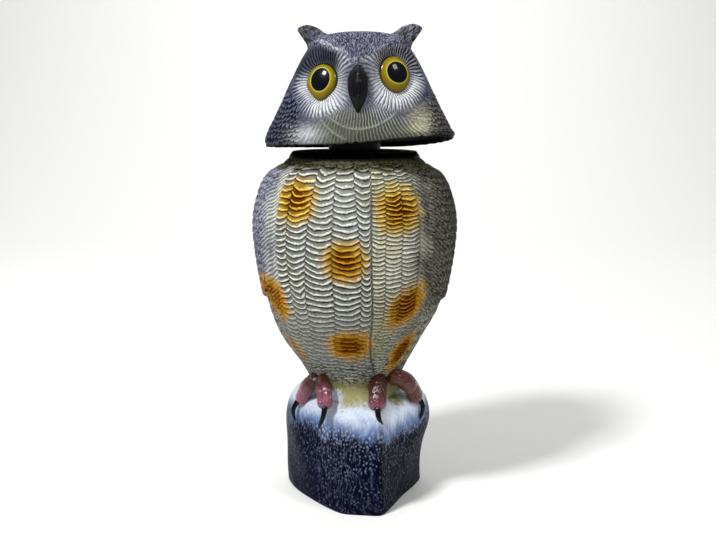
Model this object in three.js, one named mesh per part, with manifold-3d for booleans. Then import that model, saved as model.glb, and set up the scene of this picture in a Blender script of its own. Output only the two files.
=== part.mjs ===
import * as THREE from 'three';
import { mergeVertices } from 'three/addons/utils/BufferGeometryUtils.js';
import Module from 'manifold-3d';

// An owl decoy of blow-moulded plastic that stands on its own stump.
// The head turns freely on a black hub on top of the neck.
// Millimetres, +Z up, the owl faces -Y. The origin is in the flat underside, on the axis of the hub.
// Azimuths are degrees from straight ahead, positive towards +X, the owl's own left.

const wasm = await Module();
wasm.setup();

// Stump that the owl perches on
const STUMP_HEIGHT = 92;
const STUMP_WIDTH = 125;
const STUMP_FRONT_SLOPE = 5;
const STUMP_SHOULDER = 13;
const LEDGE_RISE = 11;
const BARK_DEPTH = 0.9;
const BARK_FOLDS = 5;
const BARK_WAVES = 1.4;

// Torso and neck
const TORSO_HEIGHT = 207;
const TORSO_WIDTH = 177;
const TORSO_DEPTH = 158;
const BODY_YAW = -4;
const LOWER_BODY_SHIFT = -2.5;
const NECK_RADIUS = 55;
const NECK_BEVEL_WIDTH = 3;
const NECK_BEVEL_HEIGHT = 5;

// Feathers of the torso and the wings
const FEATHER_STEP = 10.6;
const FEATHER_RISE = 1.5;
const FEATHER_SAG = 4;
const FEATHER_LIP = 1.6;
const FIRST_FEATHER_DROP = 13;
const LAST_FEATHER_RISE = 16;
const WING_RISE = 3.6;
const WING_EDGE_WIDTH = 3;
const WING_PARTING_DEPTH = 2;
const WING_PARTING_SPREAD = 3;
const TAIL_WIDTH = 46;
const TAIL_REACH = 66;
const TAIL_END = 58;

// Hub that the head turns on
const HUB_RADIUS = 23;
const HUB_HEIGHT = 10;
const SPIGOT_RADIUS = 11;
const SPIGOT_LENGTH = 22;
const SEAT_GAP = 0.3;
const RUNNING_CLEARANCE = 0.4;
const SOCKET_SPARE_DEPTH = 2;
const SEAT_RIM_CLEARANCE = 2;

// Head
const HEAD_GAP = 4.5;
const HEAD_HEIGHT = 99;
const HEAD_WIDTH = 167;
const HEAD_DEPTH = 134;
const HEAD_SHIFT = 4.8;
const HEAD_CHIN_UP = 3.5;
const HEAD_ROLL = 0.5;
const RIM_LIFT = 7;
const RIM_LIFT_AZIMUTH = 65;
const UNDERSIDE_DISH = 4;
const UNDERSIDE_SHARE = 0.93;
const RIM_LIP = 5;
const RIM_TEETH = 1.2;
const HEAD_FEATHER_STEP = 9.5;
const HEAD_FEATHER_RISE = 1.1;
const HEAD_FEATHER_SAG = 3;
const FACE_HALF_WIDTH = 55;
const FACE_SHIFT = 3.5;
const FACE_RIDGE = 1.6;
const FACE_RIDGE_WIDTH = 3;
const EYE_HOLLOW_RADIUS = 27;
const EYE_HOLLOW_DEPTH = 7;
const BROW_RISE = 3.5;
const BROW_WIDTH = 7;
const BROW_REACH = 34;
const BROW_FOOT_DROP = 29;
const BROW_TOP_DROP = 10;

// Eyes, beak and ears
const EYE_WIDTH = 27;
const EYE_HEIGHT = 32;
const EYE_BULGE = 6;
const EYE_BARREL = 5;
const EYE_CLEARANCE = 0.3;
const BEAK_WIDTH = 18;
const EAR_WIDTH = 35;
const EAR_THICKNESS = 24;
const EAR_FOOT_DROP = 24;
const EAR_FOOT_SPREAD = 20;
const EAR_STAND = 6.5;
const EAR_BACK = 3;

// Toes and claws
const TOE_WIDTH = 13;
const THICK_TOE_WIDTH = 15;
const CLAW_WIDTH = 6.5;

const waistZ = STUMP_HEIGHT + LEDGE_RISE;
const neckTopZ = waistZ + TORSO_HEIGHT;
const hubFootZ = neckTopZ + SEAT_GAP;
const hubSeatZ = hubFootZ + HUB_HEIGHT;
const rimZ = neckTopZ + HEAD_GAP;

// Sections of the torso from the waist to the neck: height as a share of the torso, then half width and
// depths in front and behind as shares of half its width and half its depth.
const TORSO_SECTIONS = [
  { at: 0, side: 0.465, front: 0.59, back: 0.6 },
  { at: 0.073, side: 0.554, front: 0.63, back: 0.64 },
  { at: 0.18, side: 0.712, front: 0.75, back: 0.74 },
  { at: 0.3, side: 0.853, front: 0.885, back: 0.85 },
  { at: 0.42, side: 0.927, front: 0.97, back: 0.92 },
  { at: 0.59, side: 0.989, front: 1.01, back: 0.975 },
  { at: 0.72, side: 1, front: 0.99, back: 0.975 },
  { at: 0.845, side: 0.93, front: 0.92, back: 0.93 },
  { at: 0.908, side: 0.845, front: 0.855, back: 0.87 },
  { at: 0.932, side: 0.76, front: 0.81, back: 0.82 },
  { at: 0.95, side: 0.69, front: 0.775, back: 0.775 },
];

// Flat faces of the stump: azimuth of the face and its distance from the axis as a share of half the width.
const STUMP_FACES = [
  { azimuth: -6, reach: 1.19 },
  { azimuth: 65, reach: 0.87 },
  { azimuth: 106, reach: 1.02 },
  { azimuth: 145, reach: 1.03 },
  { azimuth: 180, reach: 1.03 },
  { azimuth: -142, reach: 1.03 },
  { azimuth: -100, reach: 1.04 },
  { azimuth: -68, reach: 0.91 },
  { azimuth: -49, reach: 0.91 },
];
const STUMP_CORNER_SHARPNESS = 26;

// Swellings of the stump under the outer toes, and the hollow above the one on the right.
const STUMP_SWELLINGS = [
  { azimuth: 84, z: STUMP_HEIGHT - 24, rise: 10 },
  { azimuth: -88, z: STUMP_HEIGHT - 30, rise: 3 },
  { azimuth: -95, z: STUMP_HEIGHT + 4, rise: -6 },
];
const SWELLING_SPREAD = 40;
const SWELLING_HEIGHT = 32;

// Edges between the feather columns of the breast; the wings' front edges close the outermost two.
const BREAST_COLUMN_EDGES = [-43.5, -30.4, -14.1, 5.8, 18.7, 29, 40.2];
const WING_SCALES = 27;

// Front edge of the folded wing: azimuth from the middle of the breast at a share of the torso's height.
const WING_EDGE = [
  { at: 0.36, azimuth: 80 },
  { at: 0.43, azimuth: 62 },
  { at: 0.5, azimuth: 54 },
  { at: 0.6, azimuth: 52.5 },
  { at: 0.72, azimuth: 52.5 },
  { at: 0.85, azimuth: 56 },
  { at: 0.96, azimuth: 62 },
];
const WING_EDGE_LOWEST_COLUMN = 0.5;

// Lower edge of the folded wing: share of the torso's height at an azimuth from the middle of the breast.
const WING_FOOT = [
  { azimuth: 60, at: 0.37 },
  { azimuth: 90, at: 0.355 },
  { azimuth: 130, at: 0.22 },
  { azimuth: 160, at: 0.11 },
  { azimuth: 180, at: 0.13 },
];

// Sections of the head from rim to crown: height as a share of the head, half width and depths as shares.
const HEAD_SECTIONS = [
  { at: 0, side: 0.985, front: 0.985, back: 0.985 },
  { at: 0.06, side: 1, front: 0.99, back: 1 },
  { at: 0.146, side: 0.963, front: 0.955, back: 0.985 },
  { at: 0.365, side: 0.832, front: 0.865, back: 0.93 },
  { at: 0.583, side: 0.714, front: 0.785, back: 0.86 },
  { at: 0.76, side: 0.607, front: 0.7, back: 0.77 },
  { at: 0.865, side: 0.52, front: 0.6, back: 0.66 },
  { at: 0.93, side: 0.43, front: 0.49, back: 0.54 },
  { at: 0.975, side: 0.3, front: 0.34, back: 0.37 },
  { at: 1, side: 0, front: 0, back: 0 },
];
const SECTION_SQUARENESS = 2.15;

// Rings of the smooth crown and the first row of feathers below it, as shares of the head's height.
const CROWN_RINGS = [0.985, 0.955, 0.915];
const FIRST_HEAD_FEATHER = 0.88;

const degrees = THREE.MathUtils.degToRad;
const step = THREE.MathUtils.smoothstep;
const mix = THREE.MathUtils.lerp;

// Smooth curve through the stations of a list, by their key and value names.
function through(stations, key, value, x) {
  const last = stations.length - 1;
  const held = THREE.MathUtils.clamp(x, stations[0][key], stations[last][key]);
  let i = 0;
  while (i < last - 1 && held > stations[i + 1][key]) i += 1;
  const slope = (k) => {
    const low = stations[Math.max(k - 1, 0)];
    const high = stations[Math.min(k + 1, last)];
    return (high[value] - low[value]) / (high[key] - low[key]);
  };
  const span = stations[i + 1][key] - stations[i][key];
  const t = (held - stations[i][key]) / span;
  const rise = t * t * (3 - 2 * t);
  const leave = t * (1 - t) * (1 - t) * span * slope(i);
  const arrive = t * t * (1 - t) * span * slope(i + 1);
  return mix(stations[i][value], stations[i + 1][value], rise) + leave - arrive;
}

// Closed form of rings: a sphere whose points move to place(column, row), row 0 at the top.
function ringForm(columns, rows, place) {
  const geometry = new THREE.SphereGeometry(1, columns, rows);
  const positions = geometry.attributes.position;
  for (let row = 0; row <= rows; row += 1) {
    for (let column = 0; column <= columns; column += 1) {
      const point = place(column % columns, row);
      positions.setXYZ(row * (columns + 1) + column, point.x, point.y, point.z);
    }
  }
  return geometry;
}

function toSolid(geometry) {
  const bare = geometry.clone();
  bare.deleteAttribute('normal');
  bare.deleteAttribute('uv');
  const merged = mergeVertices(bare);
  return new wasm.Manifold(new wasm.Mesh({
    numProp: 3,
    vertProperties: new Float32Array(merged.attributes.position.array),
    triVerts: new Uint32Array(merged.index.array),
  }));
}

function toGeometry(solid) {
  const mesh = solid.getMesh();
  const geometry = new THREE.BufferGeometry();
  geometry.setAttribute('position', new THREE.BufferAttribute(new Float32Array(mesh.vertProperties), 3));
  geometry.setIndex(new THREE.BufferAttribute(new Uint32Array(mesh.triVerts), 1));
  geometry.computeVertexNormals();
  return geometry;
}

function namedMesh(name, geometry, color, roughness) {
  const material = new THREE.MeshStandardMaterial({ color, roughness, metalness: 0 });
  const mesh = new THREE.Mesh(geometry, material);
  mesh.name = name;
  return mesh;
}

function cylinder(radius, low, high, sides) {
  const geometry = new THREE.CylinderGeometry(radius, radius, high - low, sides);
  geometry.rotateX(Math.PI / 2);
  geometry.translate(0, 0, (low + high) / 2);
  return geometry;
}

// Tapering limb along a curve, closed at both ends: width(share) is its half width, flat squeezes it.
function limb(points, width, flat, sides, rows) {
  const curve = new THREE.CatmullRomCurve3(points.map((p) => new THREE.Vector3(...p)));
  const frames = curve.computeFrenetFrames(rows, false);
  return ringForm(sides, rows, (column, row) => {
    const share = row / rows;
    const turn = -column / sides * 2 * Math.PI;
    const half = row === 0 || row === rows ? 0 : width(share);
    return curve.getPointAt(share)
      .addScaledVector(frames.normals[row], half * Math.cos(turn))
      .addScaledVector(frames.binormals[row], half * flat * Math.sin(turn));
  });
}

// Radius of a superellipse section at an azimuth in radians.
function sectionRadius(azimuth, side, front, back, squareness) {
  const depth = Math.cos(azimuth) > 0 ? front : back;
  const across = Math.abs(Math.sin(azimuth) / side) ** squareness;
  const along = Math.abs(Math.cos(azimuth) / depth) ** squareness;
  return (across + along) ** (-1 / squareness);
}

// Columns of points round the body: edges and middles of the breast's feather columns, then round the wings
// and the back from one wing's front edge to the other's, which both move with the height.
function bodyColumns() {
  const columns = [];
  const wingEdge = (share) => through(WING_EDGE, 'at', 'azimuth', Math.max(share, WING_EDGE_LOWEST_COLUMN));
  const edges = BREAST_COLUMN_EDGES.map((edge) => () => edge);
  edges.unshift((share) => BODY_YAW - wingEdge(share));
  edges.push((share) => BODY_YAW + wingEdge(share));
  edges.slice(1).forEach((edge, i) => {
    columns.push({ azimuth: edges[i], tip: false });
    columns.push({ azimuth: (share) => (edges[i](share) + edge(share)) / 2, tip: true });
  });
  for (let i = 0; i <= WING_SCALES; i += 1) {
    const part = i / WING_SCALES;
    const azimuth = (share) => {
      const lip = WING_EDGE_WIDTH / (Math.PI * TORSO_WIDTH) * 360;
      const right = BODY_YAW + wingEdge(share) + lip;
      const left = BODY_YAW + 360 - wingEdge(share) - lip;
      return mix(right, left, part);
    };
    columns.push({ azimuth, tip: i % 2 === 1 });
  }
  const lastEdge = edges[edges.length - 1];
  columns.splice(2 * edges.length - 2, 0, { azimuth: lastEdge, tip: false });
  return columns;
}

// How far a point is from the middle of the breast, in degrees from 0 to 180.
function fromBreast(azimuth) {
  const turned = THREE.MathUtils.euclideanModulo(azimuth - BODY_YAW, 360);
  return Math.min(turned, 360 - turned);
}

// 1 on a folded wing, 0 off it, with a soft step at its front and lower edges.
function onWing(azimuth, z, radius) {
  const away = fromBreast(azimuth);
  const share = (z - waistZ) / TORSO_HEIGHT;
  const pastFront = degrees(away - through(WING_EDGE, 'at', 'azimuth', share)) * radius;
  const aboveFoot = (share - through(WING_FOOT, 'azimuth', 'at', away)) * TORSO_HEIGHT;
  const belowNeck = neckTopZ - NECK_BEVEL_HEIGHT - FEATHER_LIP - z;
  return step(pastFront, 0, WING_EDGE_WIDTH)
    * step(aboveFoot, 0, WING_EDGE_WIDTH)
    * step(belowNeck, 0, 2 * WING_EDGE_WIDTH);
}

function torsoRadius(azimuth, z) {
  const share = (z - waistZ) / TORSO_HEIGHT;
  const side = TORSO_WIDTH / 2 * through(TORSO_SECTIONS, 'at', 'side', share);
  const front = TORSO_DEPTH / 2 * through(TORSO_SECTIONS, 'at', 'front', share);
  const back = TORSO_DEPTH / 2 * through(TORSO_SECTIONS, 'at', 'back', share);
  const plain = sectionRadius(degrees(azimuth - BODY_YAW), side, front, back, 2);
  const parting = 1 - step(Math.abs(180 - fromBreast(azimuth)), 0, WING_PARTING_SPREAD);
  return plain + (WING_RISE - WING_PARTING_DEPTH * parting) * onWing(azimuth, z, plain);
}

// The tail is a slab down the back that bridges the waist and ends on the stump.
function withTail(azimuth, z, radius) {
  const across = degrees(180 - fromBreast(azimuth));
  const share = THREE.MathUtils.clamp((z - TAIL_END) / (waistZ + TORSO_HEIGHT / 2 - TAIL_END), 0, 1);
  const reach = mix(TAIL_REACH, TAIL_REACH + WING_RISE, share) / Math.max(Math.cos(across), 0.1);
  const inside = TAIL_WIDTH / 2 - Math.abs(TAIL_REACH * Math.tan(Math.min(across, 1)));
  const aboveEnd = z - TAIL_END;
  const cover = step(inside, -WING_EDGE_WIDTH, WING_EDGE_WIDTH) * step(aboveEnd, 0, WING_EDGE_WIDTH);
  return mix(radius, Math.max(radius, reach), cover);
}

// Difference of two azimuths, from -180 to 180 degrees.
function turnBetween(azimuth, other) {
  return THREE.MathUtils.euclideanModulo(azimuth - other + 180, 360) - 180;
}

function stumpRadius(azimuth, z) {
  const sum = STUMP_FACES.reduce((total, face) => {
    const facing = Math.cos(degrees(azimuth - face.azimuth));
    return total + Math.max(facing / face.reach, 0) ** STUMP_CORNER_SHARPNESS;
  }, 0);
  const swelling = STUMP_SWELLINGS.reduce((total, knob) => {
    const across = turnBetween(azimuth, knob.azimuth) / SWELLING_SPREAD;
    const up = (z - knob.z) / SWELLING_HEIGHT;
    return total + knob.rise * Math.exp(-2 * (across ** 2 + up ** 2));
  }, 0);
  const slope = STUMP_FRONT_SLOPE * z / STUMP_HEIGHT * Math.max(Math.cos(degrees(azimuth)), 0) ** 2;
  const wave = BARK_WAVES * 2 * Math.PI * z / STUMP_HEIGHT + degrees(azimuth * 2);
  const bark = Math.sin(degrees(azimuth * BARK_FOLDS)) * Math.sin(wave);
  const faces = STUMP_WIDTH / 2 * sum ** (-1 / STUMP_CORNER_SHARPNESS);
  return faces - slope + swelling + BARK_DEPTH * bark;
}

// Rings of the body from the neck down. Each gives the height and the radius at an azimuth.
function bodyRings() {
  const rings = [
    { height: () => neckTopZ, radius: () => 0 },
    { height: () => neckTopZ, radius: () => NECK_RADIUS },
    { height: () => neckTopZ - NECK_BEVEL_HEIGHT, radius: () => NECK_RADIUS + NECK_BEVEL_WIDTH },
    { height: () => neckTopZ - 2 * NECK_BEVEL_HEIGHT, radius: torsoRadius },
  ];
  const firstZ = neckTopZ - FIRST_FEATHER_DROP;
  const lastZ = waistZ + LAST_FEATHER_RISE;
  const crests = Math.round((firstZ - lastZ) / FEATHER_STEP);
  for (let crest = 0; crest <= crests; crest += 1) {
    const z = mix(firstZ, lastZ, crest / crests);
    // Feather tips hang below the crest's height; on the wings every second row is staggered.
    const hang = (column) => {
      const onBack = fromBreast(column.azimuth(1)) > WING_EDGE[WING_EDGE.length - 1].azimuth + 1;
      const tip = onBack && crest % 2 === 1 ? !column.tip : column.tip;
      return tip ? FEATHER_SAG : 0;
    };
    rings.push({ height: (column) => z - hang(column), radius: torsoRadius });
    rings.push({
      height: (column) => z - hang(column) - FEATHER_LIP,
      radius: (azimuth, height) => torsoRadius(azimuth, height) - FEATHER_RISE,
    });
  }
  rings.push({ height: () => waistZ, radius: torsoRadius });
  [0, 30, 60].forEach((turn) => {
    const z = STUMP_HEIGHT - STUMP_SHOULDER * (1 - Math.cos(degrees(turn)));
    const inset = STUMP_SHOULDER * (1 - Math.sin(degrees(turn)));
    rings.push({ height: () => z, radius: (azimuth) => stumpRadius(azimuth, z) - inset });
  });
  const sideTop = STUMP_HEIGHT - STUMP_SHOULDER;
  const sideRows = 6;
  for (let row = 0; row <= sideRows; row += 1) {
    rings.push({ height: () => sideTop * (1 - row / sideRows), radius: stumpRadius });
  }
  rings.push({ height: () => 0, radius: () => 0 });
  return rings;
}

// Toes and claws run from the foot's root under the breast down over the edge of the stump. Each point has an
// azimuth, a rise above the top of the stump and how far it stands out from the surface that it follows: the
// torso at its first point, the side of the stump at the others.
const TOES = [
  {
    width: TOE_WIDTH,
    points: [
      { azimuth: -45.9, rise: 21, out: -3 },
      { azimuth: -51.7, rise: 15, out: -6.7 },
      { azimuth: -59, rise: 6, out: -3 },
      { azimuth: -65.5, rise: -7, out: -0.4 },
    ],
  },
  {
    width: TOE_WIDTH,
    points: [
      { azimuth: -40.6, rise: 21, out: -3 },
      { azimuth: -32, rise: 16, out: -3.7 },
      { azimuth: -25.7, rise: 9, out: 2.8 },
      { azimuth: -22.3, rise: -1, out: 7.3 },
    ],
  },
  {
    width: THICK_TOE_WIDTH,
    points: [
      { azimuth: 34.4, rise: 21, out: -5 },
      { azimuth: 25.5, rise: 17, out: -17.3 },
      { azimuth: 20, rise: 10, out: -13.3 },
      { azimuth: 16.9, rise: -1, out: -7.4 },
    ],
  },
  {
    width: THICK_TOE_WIDTH,
    points: [
      { azimuth: 40.5, rise: 21, out: -3 },
      { azimuth: 53.8, rise: 18, out: -4.8 },
      { azimuth: 64.8, rise: 8, out: 0.3 },
      { azimuth: 72.5, rise: -7, out: 0.6 },
    ],
  },
];
// Each claw leaves the end of the toe at the same place in the list above: its later points are offsets from
// that end, sideways, forwards and upwards.
const CLAW_ROOT_RISE = 5;
const CLAWS = [
  [{ right: -6.5, ahead: 3, up: -7 }, { right: -4.5, ahead: 4, up: -19 }],
  [{ right: -2, ahead: 5, up: -6 }, { right: -6, ahead: 4, up: -18 }],
  [{ right: 1.5, ahead: 7, up: -6 }, { right: 5.5, ahead: 4, up: -16 }],
  [{ right: 5, ahead: 2, up: -6 }, { right: 1, ahead: 4, up: -20 }],
];

function toePoints(toe) {
  return toe.points.map((point, index) => {
    const z = STUMP_HEIGHT + point.rise;
    const onTorso = torsoRadius(point.azimuth, z);
    const onStump = stumpRadius(point.azimuth, Math.min(z, STUMP_HEIGHT));
    const radius = (index === 0 ? onTorso : onStump) + point.out;
    return [radius * Math.sin(degrees(point.azimuth)), -radius * Math.cos(degrees(point.azimuth)), z];
  });
}

function clawPoints(toe, steps) {
  const [x, y, z] = toePoints(toe).at(-1);
  const root = [x, y, z + CLAW_ROOT_RISE];
  return [root, ...steps.map((point) => [x + point.right, y - point.ahead, z + point.up])];
}

function footParts() {
  const blunt = (share) => Math.sqrt(1 - Math.abs(2 * share - 1) ** 5);
  const toes = TOES.map((toe) => limb(toePoints(toe), (share) => toe.width / 2 * blunt(share), 0.9, 8, 8));
  const taper = (share) => CLAW_WIDTH / 2 * blunt(share) * (1 - 0.55 * share);
  const claws = CLAWS.map((steps, i) => limb(clawPoints(TOES[i], steps), taper, 1, 6, 5));
  return [...toes, ...claws];
}

function body() {
  const columns = bodyColumns();
  const rings = bodyRings();
  const form = ringForm(columns.length, rings.length - 1, (index, row) => {
    const column = columns[index];
    const z = rings[row].height(column);
    const share = (z - waistZ) / TORSO_HEIGHT;
    const azimuth = column.azimuth(share);
    let radius = rings[row].radius(azimuth, z);
    if (z > TAIL_END && z < neckTopZ - FIRST_FEATHER_DROP) radius = withTail(azimuth, z, radius);
    const shift = LOWER_BODY_SHIFT * Math.exp(-(((share - 0.2) / 0.1) ** 2));
    const turn = degrees(azimuth);
    return new THREE.Vector3(shift + radius * Math.sin(turn), -radius * Math.cos(turn), z);
  });
  const solid = footParts().reduce((whole, part) => whole.add(toSolid(part)), toSolid(form));
  return namedMesh('body', toGeometry(solid), 0x9aa39a, 0.5);
}

function hub() {
  const profile = [
    [0, hubFootZ],
    [HUB_RADIUS, hubFootZ],
    [HUB_RADIUS, hubSeatZ],
    [SPIGOT_RADIUS, hubSeatZ],
    [SPIGOT_RADIUS, hubSeatZ + SPIGOT_LENGTH],
    [0, hubSeatZ + SPIGOT_LENGTH],
  ].map(([radius, z]) => new THREE.Vector2(radius, z));
  const geometry = new THREE.LatheGeometry(profile, 32);
  geometry.rotateX(Math.PI / 2);
  return namedMesh('pivot_hub', toGeometry(toSolid(geometry)), 0x0c0c0d, 0.4);
}

// Tilt of the head about the middle of its rim, the same for the shell, the beak, the ears and the eyes.
const headPlace = new THREE.Matrix4()
  .makeTranslation(HEAD_SHIFT, 0, rimZ)
  .multiply(new THREE.Matrix4().makeRotationY(-degrees(HEAD_ROLL)))
  .multiply(new THREE.Matrix4().makeRotationX(-degrees(HEAD_CHIN_UP)));

// Eyes: middle of each in the head's own frame as shares of its half width and its height, and the way it
// looks out and up.
const EYES = [
  { name: 'eye_right', across: -0.371, up: 0.53, outward: -24, upward: 14 },
  { name: 'eye_left', across: 0.359, up: 0.591, outward: 24, upward: 14 },
];
EYES.forEach((eye) => {
  eye.x = eye.across * HEAD_WIDTH / 2;
  eye.z = eye.up * HEAD_HEIGHT;
});

// Tips of the ears as shares of the head's half width, sideways from its middle.
const EAR_TIPS = [-0.605, 0.617];

function headRadius(azimuth, share) {
  const side = HEAD_WIDTH / 2 * through(HEAD_SECTIONS, 'at', 'side', share);
  const front = HEAD_DEPTH / 2 * through(HEAD_SECTIONS, 'at', 'front', share);
  const back = HEAD_DEPTH / 2 * through(HEAD_SECTIONS, 'at', 'back', share);
  if (side < 0.01) return 0;
  return sectionRadius(degrees(azimuth), side, front, back, SECTION_SQUARENESS);
}

// The hollow round each eye, which leaves the brows and the ridge of the beak standing.
function eyeHollow(x, y, z) {
  if (y > 0) return 0;
  return EYES.reduce((deepest, eye) => {
    const distance = Math.hypot(x - eye.x, z - eye.z) / EYE_HOLLOW_RADIUS;
    const depth = distance < 1 ? EYE_HOLLOW_DEPTH * (1 - distance ** 2) ** 1.5 : 0;
    return Math.max(deepest, depth);
  }, 0);
}

// A brow runs up and outwards from the top of the beak to the front of each ear.
function brow(x, y, z) {
  if (y > 0) return 0;
  const foot = { x: FACE_SHIFT - HEAD_SHIFT, z: HEAD_HEIGHT - BROW_FOOT_DROP };
  const run = { x: Math.sign(x - foot.x) * BROW_REACH, z: BROW_FOOT_DROP - BROW_TOP_DROP };
  const share = ((x - foot.x) * run.x + (z - foot.z) * run.z) / (run.x ** 2 + run.z ** 2);
  const held = THREE.MathUtils.clamp(share, 0, 1);
  const away = Math.hypot(x - foot.x - held * run.x, z - foot.z - held * run.z);
  return BROW_RISE * Math.exp(-((away / BROW_WIDTH) ** 2));
}

// How far outside the edge of the face a point of the head is, sideways.
function outsideFace(azimuth, share) {
  const radius = headRadius(azimuth, share);
  return Math.abs(radius * Math.sin(degrees(azimuth)) - FACE_SHIFT) - FACE_HALF_WIDTH;
}

// 1 on the face, which has no feather rows, and 0 round the sides and the back.
function onFace(azimuth, share) {
  if (Math.cos(degrees(azimuth)) < 0) return 0;
  return 1 - step(outsideFace(azimuth, share), -FACE_RIDGE_WIDTH, 0);
}

function headPoint(azimuth, share, rise) {
  const turn = degrees(azimuth);
  const z = share * HEAD_HEIGHT;
  const radius = headRadius(azimuth, share);
  const x = radius * Math.sin(turn);
  const y = -radius * Math.cos(turn);
  const fromRidge = outsideFace(azimuth, share) / FACE_RIDGE_WIDTH;
  const ridge = y < 0 ? FACE_RIDGE * Math.exp(-(fromRidge ** 2)) : 0;
  const crest = rise * (1 - onFace(azimuth, share));
  const moved = radius + crest + ridge + brow(x, y, z) - eyeHollow(x, y, z);
  return new THREE.Vector3(moved * Math.sin(turn), -moved * Math.cos(turn), z);
}

// The rim of the head rises towards the owl's front left.
function rimLift(azimuth) {
  const away = Math.min(Math.abs(turnBetween(azimuth, RIM_LIFT_AZIMUTH)), 90);
  return RIM_LIFT * Math.cos(degrees(away)) ** 2;
}

function headRings() {
  const rings = [() => new THREE.Vector3(0, 0, HEAD_HEIGHT)];
  CROWN_RINGS.forEach((share) => rings.push((column) => headPoint(column.azimuth, share, 0)));
  const firstZ = FIRST_HEAD_FEATHER * HEAD_HEIGHT;
  const lastZ = RIM_LIP + HEAD_FEATHER_STEP;
  const crests = Math.round((firstZ - lastZ) / HEAD_FEATHER_STEP);
  for (let crest = 0; crest <= crests; crest += 1) {
    const z = mix(firstZ, lastZ, crest / crests);
    const hang = (column) => {
      const sag = (crest % 2 === 1) === column.tip ? HEAD_FEATHER_SAG : 0;
      return sag * (1 - onFace(column.azimuth, z / HEAD_HEIGHT));
    };
    rings.push((column) => headPoint(column.azimuth, (z - hang(column)) / HEAD_HEIGHT, HEAD_FEATHER_RISE));
    rings.push((column) => {
      const height = z - hang(column) - HEAD_FEATHER_RISE;
      return headPoint(column.azimuth, height / HEAD_HEIGHT, 0);
    });
  }
  rings.push((column) => {
    const point = headPoint(column.azimuth, RIM_LIP / HEAD_HEIGHT, HEAD_FEATHER_RISE);
    return point.setZ(RIM_LIP + rimLift(column.azimuth));
  });
  rings.push((column) => {
    const point = headPoint(column.azimuth, 0, 0);
    return point.setZ(rimLift(column.azimuth) + (column.tip ? -RIM_TEETH : RIM_TEETH));
  });
  rings.push((column) => {
    const point = headPoint(column.azimuth, 0, 0).multiplyScalar(UNDERSIDE_SHARE);
    return point.setZ(UNDERSIDE_DISH + rimLift(column.azimuth));
  });
  rings.push(() => new THREE.Vector3(0, 0, UNDERSIDE_DISH));
  return rings;
}

// Columns of the head are closer together on the face.
function headShell() {
  const count = 40;
  const columns = [];
  for (let i = 0; i < count; i += 1) {
    const turn = i / count * 2 * Math.PI;
    columns.push({ azimuth: THREE.MathUtils.radToDeg(turn - 0.25 * Math.sin(turn)), tip: i % 2 === 0 });
  }
  const rings = headRings();
  return ringForm(count, rings.length - 1, (index, row) => rings[row](columns[index]));
}

// Middle line of the beak: share of the head's height and how far in front of the face it lies.
const BEAK_LINE = [
  { up: 0.697, ahead: -2.2 },
  { up: 0.616, ahead: 0.3 },
  { up: 0.485, ahead: 4.9 },
  { up: 0.354, ahead: 4.8 },
  { up: 0.242, ahead: -0.3 },
];

function beak() {
  const middle = FACE_SHIFT - HEAD_SHIFT;
  const points = BEAK_LINE.map((point) => {
    const front = HEAD_DEPTH / 2 * through(HEAD_SECTIONS, 'at', 'front', point.up);
    return [middle, -front - point.ahead, point.up * HEAD_HEIGHT];
  });
  const width = (share) => BEAK_WIDTH / 2 * Math.sin(Math.PI * (0.1 + 0.88 * share)) ** 0.7;
  return limb(points, width, 1.1, 8, 10);
}

// An ear leans outwards and ends in a round tip.
function ear(acrossTip) {
  const tip = acrossTip * HEAD_WIDTH / 2;
  const foot = Math.sign(tip) * EAR_FOOT_SPREAD;
  const footZ = HEAD_HEIGHT - EAR_FOOT_DROP;
  const tipZ = HEAD_HEIGHT + EAR_STAND;
  const points = [
    [foot, -EAR_BACK / 3, footZ],
    [mix(foot, tip, 0.42), -EAR_BACK * 2 / 3, mix(footZ, tipZ, 0.36)],
    [mix(foot, tip, 0.86), -EAR_BACK, mix(footZ, tipZ, 0.74)],
    [tip, -EAR_BACK, tipZ],
  ];
  const width = (share) => EAR_THICKNESS / 2 * (1 - 0.55 * share) * Math.sqrt(1 - share ** 12);
  return limb(points, width, EAR_WIDTH / EAR_THICKNESS, 10, 8);
}

// Eye insert about its own axis: a barrel with a domed front, grown all round by a clearance for its socket.
function eyeForm(grown) {
  const radius = EYE_WIDTH / 2;
  const foot = -EYE_BARREL - grown;
  const profile = [new THREE.Vector2(0, foot), new THREE.Vector2(radius + grown, foot)];
  const domeSteps = 5;
  for (let i = 0; i <= domeSteps; i += 1) {
    const turn = Math.PI / 2 * i / domeSteps;
    profile.push(new THREE.Vector2((radius + grown) * Math.cos(turn), (EYE_BULGE + grown) * Math.sin(turn)));
  }
  profile[profile.length - 1].x = 0;
  const geometry = new THREE.LatheGeometry(profile, 24);
  geometry.scale(1, 1, EYE_HEIGHT / EYE_WIDTH);
  return geometry;
}

// The eye's own frame: its y axis looks out of the face, from the surface of the hollow.
function eyePlace(eye) {
  let surface = headPoint(0, eye.z / HEAD_HEIGHT, 0);
  for (let round = 0; round < 6; round += 1) {
    const azimuth = THREE.MathUtils.radToDeg(Math.atan2(eye.x, -surface.y));
    surface = headPoint(azimuth, eye.z / HEAD_HEIGHT, 0);
  }
  return new THREE.Matrix4()
    .makeTranslation(surface.x, surface.y, surface.z)
    .multiply(new THREE.Matrix4().makeRotationZ(degrees(eye.outward)))
    .multiply(new THREE.Matrix4().makeRotationX(Math.PI - degrees(eye.upward)))
    .premultiply(headPlace);
}

function eye(spec) {
  const geometry = eyeForm(0).applyMatrix4(eyePlace(spec));
  return namedMesh(spec.name, toGeometry(toSolid(geometry)), 0xb59412, 0.1);
}

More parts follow.
